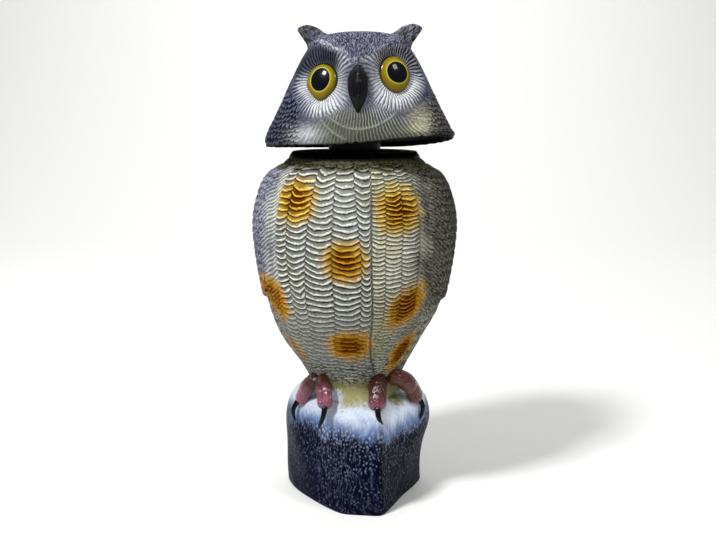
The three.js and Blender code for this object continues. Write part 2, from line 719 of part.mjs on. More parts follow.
function head() {
  let solid = toSolid(headShell().applyMatrix4(headPlace));
  solid = solid.add(toSolid(beak().applyMatrix4(headPlace)));
  EAR_TIPS.forEach((tip) => {
    solid = solid.add(toSolid(ear(tip).applyMatrix4(headPlace)));
  });
  EYES.forEach((spec) => {
    solid = solid.subtract(toSolid(eyeForm(EYE_CLEARANCE).applyMatrix4(eyePlace(spec))));
  });
  const recessZ = hubSeatZ + SEAT_GAP;
  const belowHead = rimZ - HEAD_HEIGHT / 4;
  const recess = cylinder(HUB_RADIUS + SEAT_RIM_CLEARANCE, belowHead, recessZ, 32);
  const socketTop = hubSeatZ + SPIGOT_LENGTH + SOCKET_SPARE_DEPTH;
  const socket = cylinder(SPIGOT_RADIUS + RUNNING_CLEARANCE, belowHead, socketTop, 32);
  solid = solid.subtract(toSolid(recess)).subtract(toSolid(socket));
  return namedMesh('head', toGeometry(solid), 0x6d7078, 0.5);
}

const group = new THREE.Group();
group.add(body(), hub(), head(), ...EYES.map(eye));

export default group;
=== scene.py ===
"""Owl decoy of blow-moulded, spray-painted plastic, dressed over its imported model.

Lengths in the tables are millimetres and azimuths are degrees from straight ahead, positive towards +X.
"""

import math
from functools import partial
from typing import NamedTuple

import bpy
import numpy as np
from bpy.props import FloatProperty, FloatVectorProperty, PointerProperty
from bpy.types import Operator, Panel, PropertyGroup
from mathutils import Matrix, Vector


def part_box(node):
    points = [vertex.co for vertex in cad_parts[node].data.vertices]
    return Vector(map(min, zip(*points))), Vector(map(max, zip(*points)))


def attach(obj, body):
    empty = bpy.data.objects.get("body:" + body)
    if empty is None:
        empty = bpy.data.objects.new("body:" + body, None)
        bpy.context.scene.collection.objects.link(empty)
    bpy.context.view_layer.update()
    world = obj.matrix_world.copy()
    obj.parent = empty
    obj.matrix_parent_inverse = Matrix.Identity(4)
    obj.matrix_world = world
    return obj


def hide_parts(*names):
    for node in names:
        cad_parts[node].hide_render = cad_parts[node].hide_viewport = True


bl_info = {
    "name": "Owl Decoy",
    "version": (1, 0, 0),
    "blender": (4, 5, 0),
    "location": "3D View > Sidebar > Owl Decoy",
    "description": "Builds a painted owl decoy with a turning head",
    "category": "Object",
}

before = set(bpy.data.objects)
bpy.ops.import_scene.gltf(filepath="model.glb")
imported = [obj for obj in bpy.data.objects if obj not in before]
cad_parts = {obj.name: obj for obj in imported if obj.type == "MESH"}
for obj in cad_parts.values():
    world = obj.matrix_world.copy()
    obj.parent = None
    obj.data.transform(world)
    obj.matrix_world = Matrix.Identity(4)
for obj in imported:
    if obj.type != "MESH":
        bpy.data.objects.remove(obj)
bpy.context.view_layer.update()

MM = 0.001
NECK_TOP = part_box("body")[1].z / MM
HUB_LOW, HUB_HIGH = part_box("pivot_hub")


def linear(code):
    """Linear red, green and blue of an sRGB hex code."""
    values = [int(code[i : i + 2], 16) / 255 for i in (1, 3, 5)]
    return tuple(v / 12.92 if v <= 0.04045 else ((v + 0.055) / 1.055) ** 2.4 for v in values)


# Sections of the torso from waist to neck: share of its height, then half width, front and back as shares.
TORSO_SECTIONS = [
    (0, 0.465, 0.59, 0.6),
    (0.073, 0.554, 0.63, 0.64),
    (0.18, 0.712, 0.75, 0.74),
    (0.3, 0.853, 0.885, 0.85),
    (0.42, 0.927, 0.97, 0.92),
    (0.59, 0.989, 1.01, 0.975),
    (0.72, 1, 0.99, 0.975),
    (0.845, 0.93, 0.92, 0.93),
    (0.908, 0.845, 0.855, 0.87),
    (0.932, 0.76, 0.81, 0.82),
    (0.95, 0.69, 0.775, 0.775),
]
# Foot of the tail above the ground, distance of its flat back from the axis and half its width.
TAIL_FOOT, TAIL_REACH, TAIL_HALF = 58, 66, 23
# How far the neck widens below its flat top.
NECK_FLARE = 3
# Flat faces of the stump: azimuth and distance from the axis as a share of half the width.
STUMP_FACES = [
    (-6, 1.19),
    (65, 0.87),
    (106, 1.02),
    (145, 1.03),
    (180, 1.03),
    (-142, 1.03),
    (-100, 1.04),
    (-68, 0.91),
    (-49, 0.91),
]
# Power that joins the faces; a higher one gives sharper edges between them.
FACE_SHARPNESS = 26
# The stump draws in by this much over this height at its foot.
FOOT_INSET, FOOT_RISE = 0.8, 1.2
# Swellings and hollows of the stump: azimuth, height above its top, rise.
STUMP_SWELLINGS = [(84, -24, 10), (-88, -30, 3), (-95, 4, -6)]
# Azimuths of the edges between the feather columns of the breast at three shares of the torso's height.
COLUMN_SHARES = (0.4, 0.6, 0.9)
COLUMN_EDGES = [
    (-56, -57, -58.5),
    (-43, -44.5, -44),
    (-32.5, -30.5, -27.5),
    (-13, -13.8, -13.1),
    (4.6, 4.3, -0.3),
    (11.6, 10.4, 11.4),
    (19.8, 18.6, 20.8),
    (30.4, 29, 31.4),
    (41.2, 41, 42.4),
]
# Each column of breast feathers starts this share of a row after the one before.
COLUMN_SHIFT = 0.618
# Front edge of the folded wing: share of the torso's height and azimuth from the middle of the breast.
WING_EDGE = [(0.36, 80), (0.43, 62), (0.5, 54), (0.6, 52.5), (0.72, 52.5), (0.85, 56), (0.96, 62)]
# Lower edge of the folded wing: azimuth from the middle of the breast and share of the torso's height.
WING_FOOT = [(60, 0.37), (90, 0.355), (130, 0.22), (160, 0.11), (180, 0.13)]
# Line of the mould seam down the front: height and sideways place.
SEAM_LINE = [(0, 24), (40, 22.9), (100, 20.3), (132, 17), (172, 15.7), (241, 13.8), (310, 13.8)]
# Sprayed spots: azimuth, height, half width in degrees, half height, lean, strength.
SPOTS = [
    (-39.5, 271.5, 14.5, 18.5, 0, 1),
    (28.3, 264.5, 15, 19.5, 0.1, 1),
    (-5.6, 223, 13.5, 17.5, 0, 1),
    (-62, 186, 14.5, 18, -0.4, 1),
    (36, 182.5, 14, 18, 0.5, 1),
    (-1.5, 147, 18, 13.5, 0, 1),
    (47, 137, 12.5, 16, 0.6, 1),
    (-55, 138, 9, 11, -0.4, 0.55),
]
# The barbs beside the breast are this far apart.
BARB_STEP = 3.6
# Sections of the head from rim to crown: share of its height, then half width, front and back as shares.
HEAD_SECTIONS = [
    (0, 0.985, 0.985, 0.985),
    (0.06, 1, 0.99, 1),
    (0.146, 0.963, 0.955, 0.985),
    (0.365, 0.832, 0.865, 0.93),
    (0.583, 0.714, 0.785, 0.86),
    (0.76, 0.607, 0.7, 0.77),
    (0.865, 0.52, 0.6, 0.66),
    (0.93, 0.43, 0.49, 0.54),
    (0.975, 0.3, 0.34, 0.37),
    (1, 0, 0, 0),
]
# A brow runs this far outwards and upwards from its foot, which lies this far below the crown.
BROW_RUN = (34, 19)
BROW_FOOT = 29


class Eye(NamedTuple):
    """An eye in the head's own frame.

    Its place is a share of the head's half width and height, it looks outward and upward by so many degrees,
    and pointed says how much its lower half narrows. The pupil's middle is in millimetres from the eye's and
    its size is a share of the eye's.
    """

    name: str
    across: float
    up: float
    outward: float
    upward: float
    pointed: float
    pupil_middle: tuple
    pupil_size: tuple

    def narrowed(self, down):
        """Share of the eye's width at a height below its middle, 1 at its lower edge."""
        return 1 - self.pointed * smooth(down, 0.15, 1.05)


EYES = [
    Eye("eye_right", -0.371, 0.53, -24, 14, 0.3, (0.1, 0.9), (0.62, 0.64)),
    Eye("eye_left", 0.352, 0.591, 24, 14, 0.08, (0.6, 0.3), (0.68, 0.59)),
]
# Number of rays round an eye.
RAYS = 52
# Distance that stands for a point on no eye, in eye radii.
NOT_NEAR = 9.0
# Ears: place of the tip across as a share of the head's half width.
EAR_TIPS = [-0.6, 0.622]
# Bend of an ear's middle line: share of its length, then of the way across, forwards and up to its tip.
EAR_BENDS = [(0, 0, 0, 0), (0.35, 0.37, 0.35, 0.46), (0.7, 0.68, 0.7, 0.76), (1, 1, 1, 1)]
# Half width of an ear from inside the crown to its tip: share of its length and share of half its width.
EAR_WIDTHS = [(0, 0.66), (0.35, 0.57), (0.7, 0.49), (0.93, 0.42), (1, 0.38)]
# Rings of the head's dished underside: size as a share of the rim's, and how far they lie above it.
DISH = [(0.985, 0.3), (0.955, 1.6), (0.935, 3.4), (0.93, 4)]
# Middle line of the beak: share of the head's height and how far in front of the face it lies.
BEAK_LINE = [(0.71, -2.5), (0.616, 0.3), (0.485, 4.9), (0.354, 4.8), (0.228, -0.3)]
# Half width of the beak: share of its length and millimetres.
BEAK_WIDTHS = [
    (0, 0.85),
    (0.1, 2.55),
    (0.2, 5.1),
    (0.32, 7.8),
    (0.45, 8.5),
    (0.6, 8.1),
    (0.74, 6.1),
    (0.86, 3.2),
    (0.94, 1.3),
    (1, 0),
]
# Toes: width, share of the length where the pink begins, brightness of the root, and points of azimuth,
# rise above the top of the stump and distance out from its side.
TOES = [
    (14, 0.4, 0.35, [(-45.9, 21, -4), (-51.7, 15, -6.7), (-59, 6, -3), (-65.5, -7, -0.4)]),
    (14, 0.5, 0.25, [(-40.6, 21, -4), (-32, 16, -3.7), (-25.7, 9, 2.8), (-22.3, -1, 7.3)]),
    (16, 0.8, 0.35, [(34.4, 21, -6), (25.5, 17, -17.3), (20, 10, -13.3), (16.9, -1, -7.4)]),
    (16, 0.98, 1.3, [(40.5, 21, -4), (53.8, 18, -4.8), (64.8, 8, 0.3), (72.5, -7, 0.6)]),
]
# Half width of a claw at its root.
CLAW_HALF = 2.9
# Claws: steps from the end of the toe sideways, forwards and upwards.
CLAWS = [
    [(-6.5, 3, -6), (-5, 4, -16)],
    [(-2, 5, -5), (-6, 4, -15.5)],
    [(1.5, 6, -5), (5, 4, -13)],
    [(5, 2, -5), (2.5, 4, -16)],
]


def length(title, text, value):
    """Property of a length in metres."""
    return FloatProperty(name=title, description=text, default=value, min=0, unit="LENGTH", precision=4)


def paint(title, text, code):
    """Property of a colour."""
    colour = linear(code)
    return FloatVectorProperty(name=title, description=text, default=colour, min=0, max=1, subtype="COLOR")


class OwlShape(PropertyGroup):
    """Sizes of the owl decoy."""

    stump_height: length("Stump height", "Height of the stump below the toes", 0.092)
    stump_width: length("Stump width", "Width that the stump's faces are set by", 0.125)
    ledge_rise: length("Ledge rise", "From the top of the stump to the waist", 0.011)
    torso_height: length("Torso height", "From the waist to the top of the neck", 0.207)
    torso_width: length("Torso width", "Width across the folded wings' roots", 0.177)
    torso_depth: length("Torso depth", "Depth from breast to back", 0.158)
    neck_radius: length("Neck radius", "Radius of the flat top of the neck", 0.055)
    feather_step: length("Feather step", "Height of one row of breast feathers", 0.005)
    feather_depth: length("Feather depth", "How far a feather's lip stands out", 0.0012)
    feather_sag: length("Feather sag", "How far the middle of a feather hangs", 0.0029)
    wing_rise: length("Wing rise", "How far the folded wing stands out", 0.0036)
    head_height: length("Head height", "From the rim to the crown", 0.099)
    head_width: length("Head width", "Width at the rim", 0.167)
    head_depth: length("Head depth", "Depth at the rim", 0.134)
    eye_width: length("Eye width", "Width of an eye insert", 0.0282)
    eye_height: length("Eye height", "Height of an eye insert", 0.032)
    eye_bulge: length("Eye bulge", "How far the eye's dome stands out", 0.006)
    ear_width: length("Ear width", "Width of an ear at its root", 0.033)


class OwlPaint(PropertyGroup):
    """Colours of the paint and of the bare plastic."""

    feather_white: paint("Feather white", "Dry-brushed lips of the breast feathers", "#f4f7f2")
    feather_grey: paint("Feather grey", "Ground between the breast feathers", "#7f827c")
    feather_olive: paint("Feather olive", "Ground on the left of the breast", "#a8a682")
    feather_cream: paint("Feather cream", "Lips on the left of the breast", "#f0ecd0")
    spot_core: paint("Spot core", "Middle of a sprayed spot", "#683404")
    spot_lip: paint("Spot lip", "Feather lips inside a spot", "#c28a1c")
    spot_edge: paint("Spot edge", "Soft edge of a sprayed spot", "#cba03a")
    wing_lilac: paint("Wing lilac", "Right wing and shoulder", "#87899a")
    wing_brown: paint("Wing brown", "Left wing", "#5d5a52")
    neck_olive: paint("Neck olive", "Side of the neck", "#4e4d39")
    black: paint("Black", "Neck top, underside of the head and hub", "#050506")
    bare_cream: paint("Bare cream", "Plastic between the feet", "#9c9768")
    overspray: paint("Overspray", "White sprayed over the edge of the stump", "#dde8f8")
    stump_lilac: paint("Stump lilac", "Below the white overspray", "#627cb0")
    stump_navy: paint("Stump navy", "Body of the stump", "#080a22")
    stump_fleck: paint("Stump fleck", "Flecks on the stump", "#6b718c")
    toe_pink: paint("Toe pink", "Ends of the toes", "#824358")
    toe_maroon: paint("Toe maroon", "Roots of the toes", "#502018")
    crown_slate: paint("Crown slate", "Ground of the crown and brows", "#25273c")
    crown_stroke: paint("Crown stroke", "Strokes on the crown", "#8c8ea4")
    face_silver: paint("Face silver", "Rays round the eyes", "#e6eaee")
    face_shade: paint("Face shade", "Ground between the rays", "#3b4058")
    chin_olive: paint("Chin olive", "Ground of the lower face", "#4b4d45")
    chin_pale: paint("Chin pale", "Grooves' edges on the lower face", "#9a9c90")
    cheek_dark: paint("Cheek dark", "Sides of the head", "#14161f")
    cheek_scale: paint("Cheek scale", "Scales on the sides of the head", "#686d8a")
    iris: paint("Iris", "Mustard yellow of the eyes", "#968611")
    iris_light: paint("Iris light", "Ring round the pupil", "#c9bd52")
    iris_rim: paint("Iris rim", "Dark rim of the eyes", "#2c2408")
    pupil: paint("Pupil", "Pupils", "#05060f")
    beak: paint("Beak", "Beak", "#0b0b0f")


class OwlStage(PropertyGroup):
    """Camera, floor and lights."""

    camera_distance: length("Camera distance", "From the hub's axis to the camera", 0.85)
    camera_height: length("Camera height", "Height of the camera", 0.35)
    camera_side: FloatProperty(
        name="Camera side", description="Camera sideways", default=0.0031, unit="LENGTH"
    )
    camera_pitch: FloatProperty(
        name="Camera pitch", description="Look down", default=math.radians(9.827), subtype="ANGLE"
    )
    lens: FloatProperty(name="Lens", description="Focal length", default=47.8, min=1, unit="CAMERA")
    key_power: FloatProperty(
        name="Key power", description="Soft key light", default=36, min=0, unit="POWER"
    )
    fill_power: FloatProperty(
        name="Fill power", description="Soft fill light", default=6, min=0, unit="POWER"
    )
    backdrop_power: FloatProperty(
        name="Backdrop power", description="Light on the sweep", default=30, min=0, unit="POWER"
    )
    world_light: FloatProperty(name="World light", description="Even light all round", default=0.3, min=0)
    floor_tone: paint("Floor tone", "Pale floor and backdrop", "#f4f4f2")


def smooth(x, low, high):
    """Soft step from 0 at low to 1 at high."""
    t = np.clip((np.asarray(x, float) - low) / (high - low), 0, 1)
    return t * t * (3 - 2 * t)


def mix(a, b, t):
    """Linear mix of numbers or of colours by a share or an array of shares."""
    a, b, t = np.asarray(a, float), np.asarray(b, float), np.asarray(t, float)
    if a.shape[-1:] == (3,) or b.shape[-1:] == (3,):
        t = t[..., None]
    return a + (b - a) * t


def through(stations, column, x):
    """Smooth curve through a list's stations: first entry against the given column."""
    keys = np.array([s[0] for s in stations], float)
    values = np.array([s[column] for s in stations], float)
    last = len(keys) - 1
    low = np.maximum(np.arange(last + 1) - 1, 0)
    high = np.minimum(np.arange(last + 1) + 1, last)
    slope = (values[high] - values[low]) / (keys[high] - keys[low])
    held = np.clip(x, keys[0], keys[-1])
    i = np.clip(np.searchsorted(keys, held, side="left") - 1, 0, last - 1)
    span = keys[i + 1] - keys[i]
    t = (held - keys[i]) / span
    rise = t * t * (3 - 2 * t)
    bend = t * (1 - t) ** 2 * span * slope[i] - t * t * (1 - t) * span * slope[i + 1]
    return values[i] + (values[i + 1] - values[i]) * rise + bend


def coat(under, over, cover):
    """Ground and lip colours of the paint with another pair laid over them."""
    return [mix(low, high, cover) for low, high in zip(under, over)]


def bell(x, middle, width):
    """1 at the middle, falling off softly over the width to both sides."""
    return np.exp(-(((x - middle) / width) ** 2))


def ripple(x, y, z, period, seed):
    """Smooth noise from about -1 to 1 with about the given period, the same on each run."""
    rng = np.random.default_rng(seed)
    total = np.zeros(np.broadcast(x, y, z).shape)
    waves = 7
    for _ in range(waves):
        way = rng.normal(size=3)
        way *= 2 * math.pi / (period * np.linalg.norm(way)) * rng.uniform(0.6, 1.5)
        total += np.sin(way[0] * x + way[1] * y + way[2] * z + rng.uniform(0, 2 * math.pi))
    return total / (waves / 2)


def turn_between(a, b):
    """Difference of two azimuths from -180 to 180."""
    return (a - b + 180) % 360 - 180


def section(azimuth, side, front, back, squareness):
    """Radius of a superellipse at an azimuth."""
    turn = np.radians(azimuth)
    depth = np.where(np.cos(turn) > 0, front, back)
    across = np.abs(np.sin(turn) / side) ** squareness
    along = np.abs(np.cos(turn) / depth) ** squareness
    return (across + along) ** (-1 / squareness)


def scallops(column, row, sag, stagger):
    """Rows of overlapping feathers: distance above the lip and distance below the lip before, in rows."""
    row = row + (np.floor(column) * COLUMN_SHIFT % 1) * (1 - 2 * stagger)

    def lip(n):
        """Where the lip of a row hangs."""
        f = (column + stagger * (n % 2)) % 1
        return n + sag * 4 * f * (1 - f)

    n = np.floor(row)
    n = np.where(row < lip(n), n, n + 1)
    return lip(n) - row, row - lip(n - 1)


def feather_height(above, below):
    """Height of a feather from 0 in the valley to 1 at the lip."""
    return smooth(below, 0.02, 0.8) * smooth(above, -0.02, 0.14)


def select_only(obj):
    """Nothing but this object is selected and active."""
    bpy.ops.object.select_all(action="DESELECT")
    obj.select_set(True)
    bpy.context.view_layer.objects.active = obj


def ringed(name, places, fields):
    """Closed form rolled up from a grid whose rows move to the given rings, with fields kept as attributes.

    Places are millimetres in an array of rings, columns and coordinates; the first and last ring are poles.
    """
    rings, columns = places.shape[0], places.shape[1]
    bpy.ops.object.select_all(action="DESELECT")
    bpy.ops.mesh.primitive_grid_add(x_subdivisions=columns, y_subdivisions=rings - 1, size=2, calc_uvs=False)
    obj = bpy.context.object
    obj.name = obj.data.name = name
    mesh = obj.data
    spots = np.empty(len(mesh.vertices) * 3, np.float32)
    mesh.vertices.foreach_get("co", spots)
    x, y, _ = spots.reshape(-1, 3).T.astype(float)
    ring = rings - 1 - np.rint((y + 1) / 2 * (rings - 1)).astype(int)
    column = np.rint((x + 1) / 2 * columns).astype(int) % columns
    column[(ring == 0) | (ring == rings - 1)] = 0
    mesh.vertices.foreach_set("co", (places[ring, column] * MM).astype(np.float32).ravel())
    for key, values in fields.items():
        picked = values[ring, column].astype(np.float32)
        if picked.ndim == 1:
            mesh.attributes.new(key, "FLOAT", "POINT").data.foreach_set("value", picked)
        elif key.startswith("paint"):
            rgba = np.column_stack([picked, np.ones(len(picked), np.float32)])
            mesh.attributes.new(key, "FLOAT_COLOR", "POINT").data.foreach_set("color", rgba.ravel())
        else:
            mesh.attributes.new(key, "FLOAT_VECTOR", "POINT").data.foreach_set("vector", picked.ravel())
    mesh.update()
    select_only(obj)
    bpy.ops.object.mode_set(mode="EDIT")
    bpy.ops.mesh.select_all(action="SELECT")
    bpy.ops.mesh.remove_doubles(threshold=1e-7)
    bpy.ops.mesh.normals_make_consistent(inside=False)
    bpy.ops.object.mode_set(mode="OBJECT")
    bpy.ops.object.shade_smooth()
    return obj


def spread(low, high, count):
    """Evenly spaced values from low up to but without high."""
    return list(np.linspace(low, high, count, endpoint=False))


def columns_round(count, fine, coarse, middle, inner, outer):
    """Azimuths of columns, closer together within inner degrees of the middle than beyond outer degrees.

    Fine and coarse are their spacings in any unit, because the count sets how many there are.
    """
    grid = np.linspace(-180, 180, 3601)
    density = 1 / fine + (1 / coarse - 1 / fine) * smooth(np.abs(grid - middle), inner, outer)
    total = np.concatenate([[0], np.cumsum((density[1:] + density[:-1]) / 2)])
    return np.interp(np.arange(count) / count * total[-1], total, grid)


class Body:
    """Shape and paint of the body in millimetres."""

    def __init__(self, shape, colours):
        self.stump_height = shape.stump_height / MM
        self.stump_width = shape.stump_width / MM
        self.waist = self.stump_height + shape.ledge_rise / MM
        self.torso_height = shape.torso_height / MM
        self.torso_width = shape.torso_width / MM
        self.torso_depth = shape.torso_depth / MM
        self.neck_radius = shape.neck_radius / MM
        self.step = shape.feather_step / MM
        self.depth = shape.feather_depth / MM
        self.sag = shape.feather_sag / MM
        self.wing_rise = shape.wing_rise / MM
        self.colours = colours
        # The breast faces a little to the owl's right.
        self.yaw = -4
        # Roundings of the stump's upper edge and of the neck's.
        self.shoulder = 13
        self.bevel = 5

    def from_breast(self, azimuth):
        """Angle from the middle of the breast, to either side."""
        turned = (azimuth - self.yaw) % 360
        return np.minimum(turned, 360 - turned)

    def on_wing(self, azimuth, z, radius):
        """1 on the folded wings, which end below the neck."""
        away = self.from_breast(azimuth)
        share = (z - self.waist) / self.torso_height
        past_front = np.radians(away - through(WING_EDGE, 1, share)) * radius
        above_foot = (share - through(WING_FOOT, 1, away)) * self.torso_height
        below_neck = NECK_TOP - self.bevel - 1.6 - z
        return smooth(past_front, 0, 3) * smooth(above_foot, 0, 3) * smooth(below_neck, 0, 6)

    def torso(self, azimuth, z):
        """Radius of the torso with the folded wings and the parting between them."""
        share = (z - self.waist) / self.torso_height
        halves = (self.torso_width / 2, self.torso_depth / 2, self.torso_depth / 2)
        side, front, back = (half * through(TORSO_SECTIONS, k, share) for k, half in enumerate(halves, 1))
        plain = section(azimuth - self.yaw, side, front, back, 2)
        parting = 1 - smooth(np.abs(180 - self.from_breast(azimuth)), 0, 3)
        return plain + (self.wing_rise - 2 * parting) * self.on_wing(azimuth, z, plain)

    def with_tail(self, azimuth, z, radius):
        """Radius with the tail, a flat slab down the back that runs into the stump."""
        across = np.radians(180 - self.from_breast(azimuth))
        share = np.clip((z - TAIL_FOOT) / (self.waist + self.torso_height / 2 - TAIL_FOOT), 0, 1)
        reach = (TAIL_REACH + self.wing_rise * share) / np.maximum(np.cos(across), 0.1)
        inside = TAIL_HALF - np.abs(TAIL_REACH * np.tan(np.minimum(across, 1)))
        cover = smooth(inside, -3, 3) * smooth(z - TAIL_FOOT, 0, 3)
        cover = cover * (1 - smooth(z, NECK_TOP - 20, NECK_TOP - 13))
        return radius + (np.maximum(radius, reach) - radius) * cover

    def stump(self, azimuth, z):
        """Radius of the stump: flat faces with rounded edges, swellings and bark."""
        total = 0
        for face, reach in STUMP_FACES:
            total = total + np.maximum(np.cos(np.radians(azimuth - face)) / reach, 0) ** FACE_SHARPNESS
        faces = self.stump_width / 2 * total ** (-1 / FACE_SHARPNESS)
        swelling = 0
        for knob, rise_at, rise in STUMP_SWELLINGS:
            across = turn_between(azimuth, knob) / 40
            up = (z - self.stump_height - rise_at) / 32
            swelling = swelling + rise * np.exp(-2 * (across**2 + up**2))
        slope = 5 * z / self.stump_height * np.maximum(np.cos(np.radians(azimuth)), 0) ** 2
        wave = 1.4 * 2 * math.pi * z / self.stump_height + np.radians(azimuth * 2)
        bark = 0.9 * np.sin(np.radians(azimuth * 5)) * np.sin(wave)
        return faces - slope + swelling + bark

    def heights(self):
        """Rings from the neck to the foot: the kind of ring and its height, share or angle."""
        neck_foot = NECK_TOP - 2 * self.bevel
        rows = [("top", r) for r in (0, 0.25, 0.5, 0.75, 0.9, 0.97, 1)]
        rows += [("bevel", t) for t in (0.15, 0.4, 0.7, 1)]
        rows += [("neck", z) for z in spread(NECK_TOP - self.bevel - 0.8, neck_foot, 5)]
        rows += [("torso", z) for z in spread(neck_foot, 178, 172) + spread(178, self.waist, 76)]
        rows += [("ledge", t) for t in spread(0, 1, 8)]
        rows += [("shoulder", t) for t in spread(0, 90, 12)]
        rows += [("side", z) for z in spread(self.stump_height - self.shoulder, FOOT_RISE, 26)]
        rows += [("side", z) for z in (FOOT_RISE, 0.4, 0)]
        rows += [("foot", r) for r in (0.97, 0.8, 0.4, 0)]
        return rows

    def ring(self, kind, value, azimuth):
        """Height and radius of one ring."""
        if kind == "top":
            return NECK_TOP, self.neck_radius * value
        if kind == "bevel":
            flare = NECK_FLARE * math.sin(value * math.pi / 2) ** 1.2
            return NECK_TOP - self.bevel * value, self.neck_radius + flare
        if kind == "neck":
            share = (NECK_TOP - self.bevel - value) / self.bevel
            wide = self.torso(azimuth, NECK_TOP - 2 * self.bevel)
            return value, mix(self.neck_radius + NECK_FLARE, wide, smooth(share, 0, 1))
        if kind == "torso":
            return value, self.torso(azimuth, value)
        if kind == "ledge":
            low = self.stump(azimuth, self.stump_height) - self.shoulder
            height = self.waist + (self.stump_height - self.waist) * value
            return height, mix(self.torso(azimuth, self.waist), low, value)
        if kind == "shoulder":
            turn = math.radians(value)
            height = self.stump_height - self.shoulder * (1 - math.cos(turn))
            return height, self.stump(azimuth, height) - self.shoulder * (1 - math.sin(turn))
        if kind == "side":
            inset = FOOT_INSET * (1 - min(value, FOOT_RISE) / FOOT_RISE) ** 2
            return value, self.stump(azimuth, value) - inset
        return 0, (self.stump(azimuth, 0) - FOOT_INSET) * value

    def form(self):
        """Azimuth, height and radius of each ring and column."""
        azimuth = columns_round(312, 0.66, 1.95, self.yaw, 58, 75)
        rings = [self.ring(kind, value, azimuth) for kind, value in self.heights()]
        z, radius = (np.array([np.broadcast_to(ring[k], azimuth.shape) for ring in rings]) for k in (0, 1))
        azimuth = np.broadcast_to(azimuth, z.shape)
        covered = self.with_tail(azimuth, z, radius)
        return azimuth, z, np.where((z > TAIL_FOOT) & (z < NECK_TOP - 10), covered, radius)

    def lay_out(self):
        """Where each point lies, and the regions that relief and paint share."""
        self.azimuth, self.z, self.radius = self.form()
        self.turn = np.radians(self.azimuth)
        self.x, self.y = self.radius * np.sin(self.turn), -self.radius * np.cos(self.turn)
        self.share = (self.z - self.waist) / self.torso_height
        self.away = self.from_breast(self.azimuth)
        self.on_torso = smooth(self.z, self.waist - 1, self.waist + 3)
        self.on_torso *= 1 - smooth(self.z, NECK_TOP - 10, NECK_TOP - 7)
        self.wing = self.on_wing(self.azimuth, self.z, self.radius) * self.on_torso
        self.left = smooth(self.x - through(SEAM_LINE, 1, self.z), -1, 1) * (self.y < 0)
        self.wobble = 0.27 * self.noise(30, 3) + 0.1 * self.noise(11, 4)
        wing_edge = np.where(self.azimuth > 0, 40, 58)
        self.to_wing = smooth(np.abs(self.azimuth) + 5 * self.noise(30, 5), wing_edge - 6, wing_edge + 12)
        self.collar = smooth(self.z + 1.5 * self.noise(8, 8), NECK_TOP - 17, NECK_TOP - 11)
        self.below_torso = 1 - smooth(self.z + self.noise(14, 9), 106, 116)
        self.black_top = smooth(self.z, NECK_TOP - 7, NECK_TOP - 4)
        # Height on the stump, made ragged for the edge of the overspray, which reaches lower on the left.
        on_left = smooth(self.azimuth, 12, 30) * (1 - smooth(self.azimuth, 60, 90)) * smooth(self.z, 50, 66)
        self.spray_edge = self.z + 3 * self.noise(22, 10) + 2.5 * self.noise(4, 11) + 7 * on_left

    def noise(self, period, seed):
        """Smooth noise over the body."""
        return ripple(self.x, self.y, self.z, period, seed)

    def breast_columns(self):
        """Column of breast feathers that each point lies in."""
        column = np.zeros_like(self.z)
        for row, share in enumerate(np.clip(self.share[:, 0], 0, 1)):
            line = [np.interp(share, COLUMN_SHARES, edge) for edge in COLUMN_EDGES]
            column[row] = np.interp(self.azimuth[row], line, np.arange(len(line)))
        return column

    def feathers(self):
        """Places of the points with the feathers' relief, and the fields that feathers are painted from."""
        share, away, wobble, left = self.share, self.away, self.wobble, self.left
        down = NECK_TOP - self.z
        upper = smooth(share, 0.22, 0.42)
        # Breast: the rows sag less and lie closer towards the waist, and those on the owl's left are finer.
        closer = 0.0042 * np.maximum(175 - self.z, 0) ** 2
        breast_row = (down + closer) / self.step * (1 + 0.4 * left) + wobble * (1 + left)
        breast_sag = self.sag / self.step * (0.6 + 0.6 * smooth(share, 0.98, 0.7)) * (0.3 + 0.7 * upper)
        breast_sag = breast_sag * (1 - 0.4 * left)
        # Wings and back: brick-laid rows that grow taller downwards.
        on_back = away > 56.5
        column = np.where(on_back, (away - 53) / 4.7 + 0.4 * wobble, self.breast_columns())
        row = np.where(on_back, down / (5.4 + 0.012 * down) + 0.5 * wobble, breast_row)
        sag = np.where(on_back, 0.55, breast_sag)
        stagger = np.where(on_back, 0.5, 0.0)
        # Barbs slope down and outwards from the edges of the breast to the wings.
        on_left = self.azimuth > 0
        outward = np.radians(np.where(on_left, self.azimuth - 41.5, -53 - self.azimuth)) * self.radius
        barb = down / BARB_STEP - 0.62 * outward / BARB_STEP + 1.2 * wobble
        barb_zone = np.where(on_left, smooth(self.azimuth, 40.5, 43.5), smooth(-self.azimuth, 52, 55))
        barb_zone = barb_zone * (1 - smooth(away, 66, 80)) * self.on_torso * smooth(share, 0.2, 0.4)
        zone = np.where(on_back, 0.8 * smooth(away, 56, 66), 1 - 0.9 * barb_zone) * self.on_torso
        zone = zone * np.where(on_back, 1, 0.5 + 0.5 * upper)
        above, below = scallops(column, row, sag, stagger)
        relief = self.depth * zone * feather_height(above, below) * (0.5 + 0.5 * upper)
        relief = relief + 0.45 * barb_zone * (0.5 - 0.5 * np.cos(2 * math.pi * barb))
        # The relief stands on a ground 1.5 mm inside the torso's form, and the waist leans to one side.
        moved = self.radius + relief - 1.5 * self.on_torso
        lean = -2.5 * bell(share, 0.2, 0.1)
        places = [lean + moved * np.sin(self.turn), -moved * np.cos(self.turn), self.z]
        off_stump = 1 - self.below_torso
        zones = [zone * off_stump * (1 - self.black_top), barb_zone * off_stump, self.speckle()]
        fields = {
            "lay": np.stack([column, row, sag], axis=-1),
            "stagger": stagger,
            "barb": barb,
            "zones": np.stack(zones, axis=-1),
        }
        return np.stack(places, axis=-1), fields

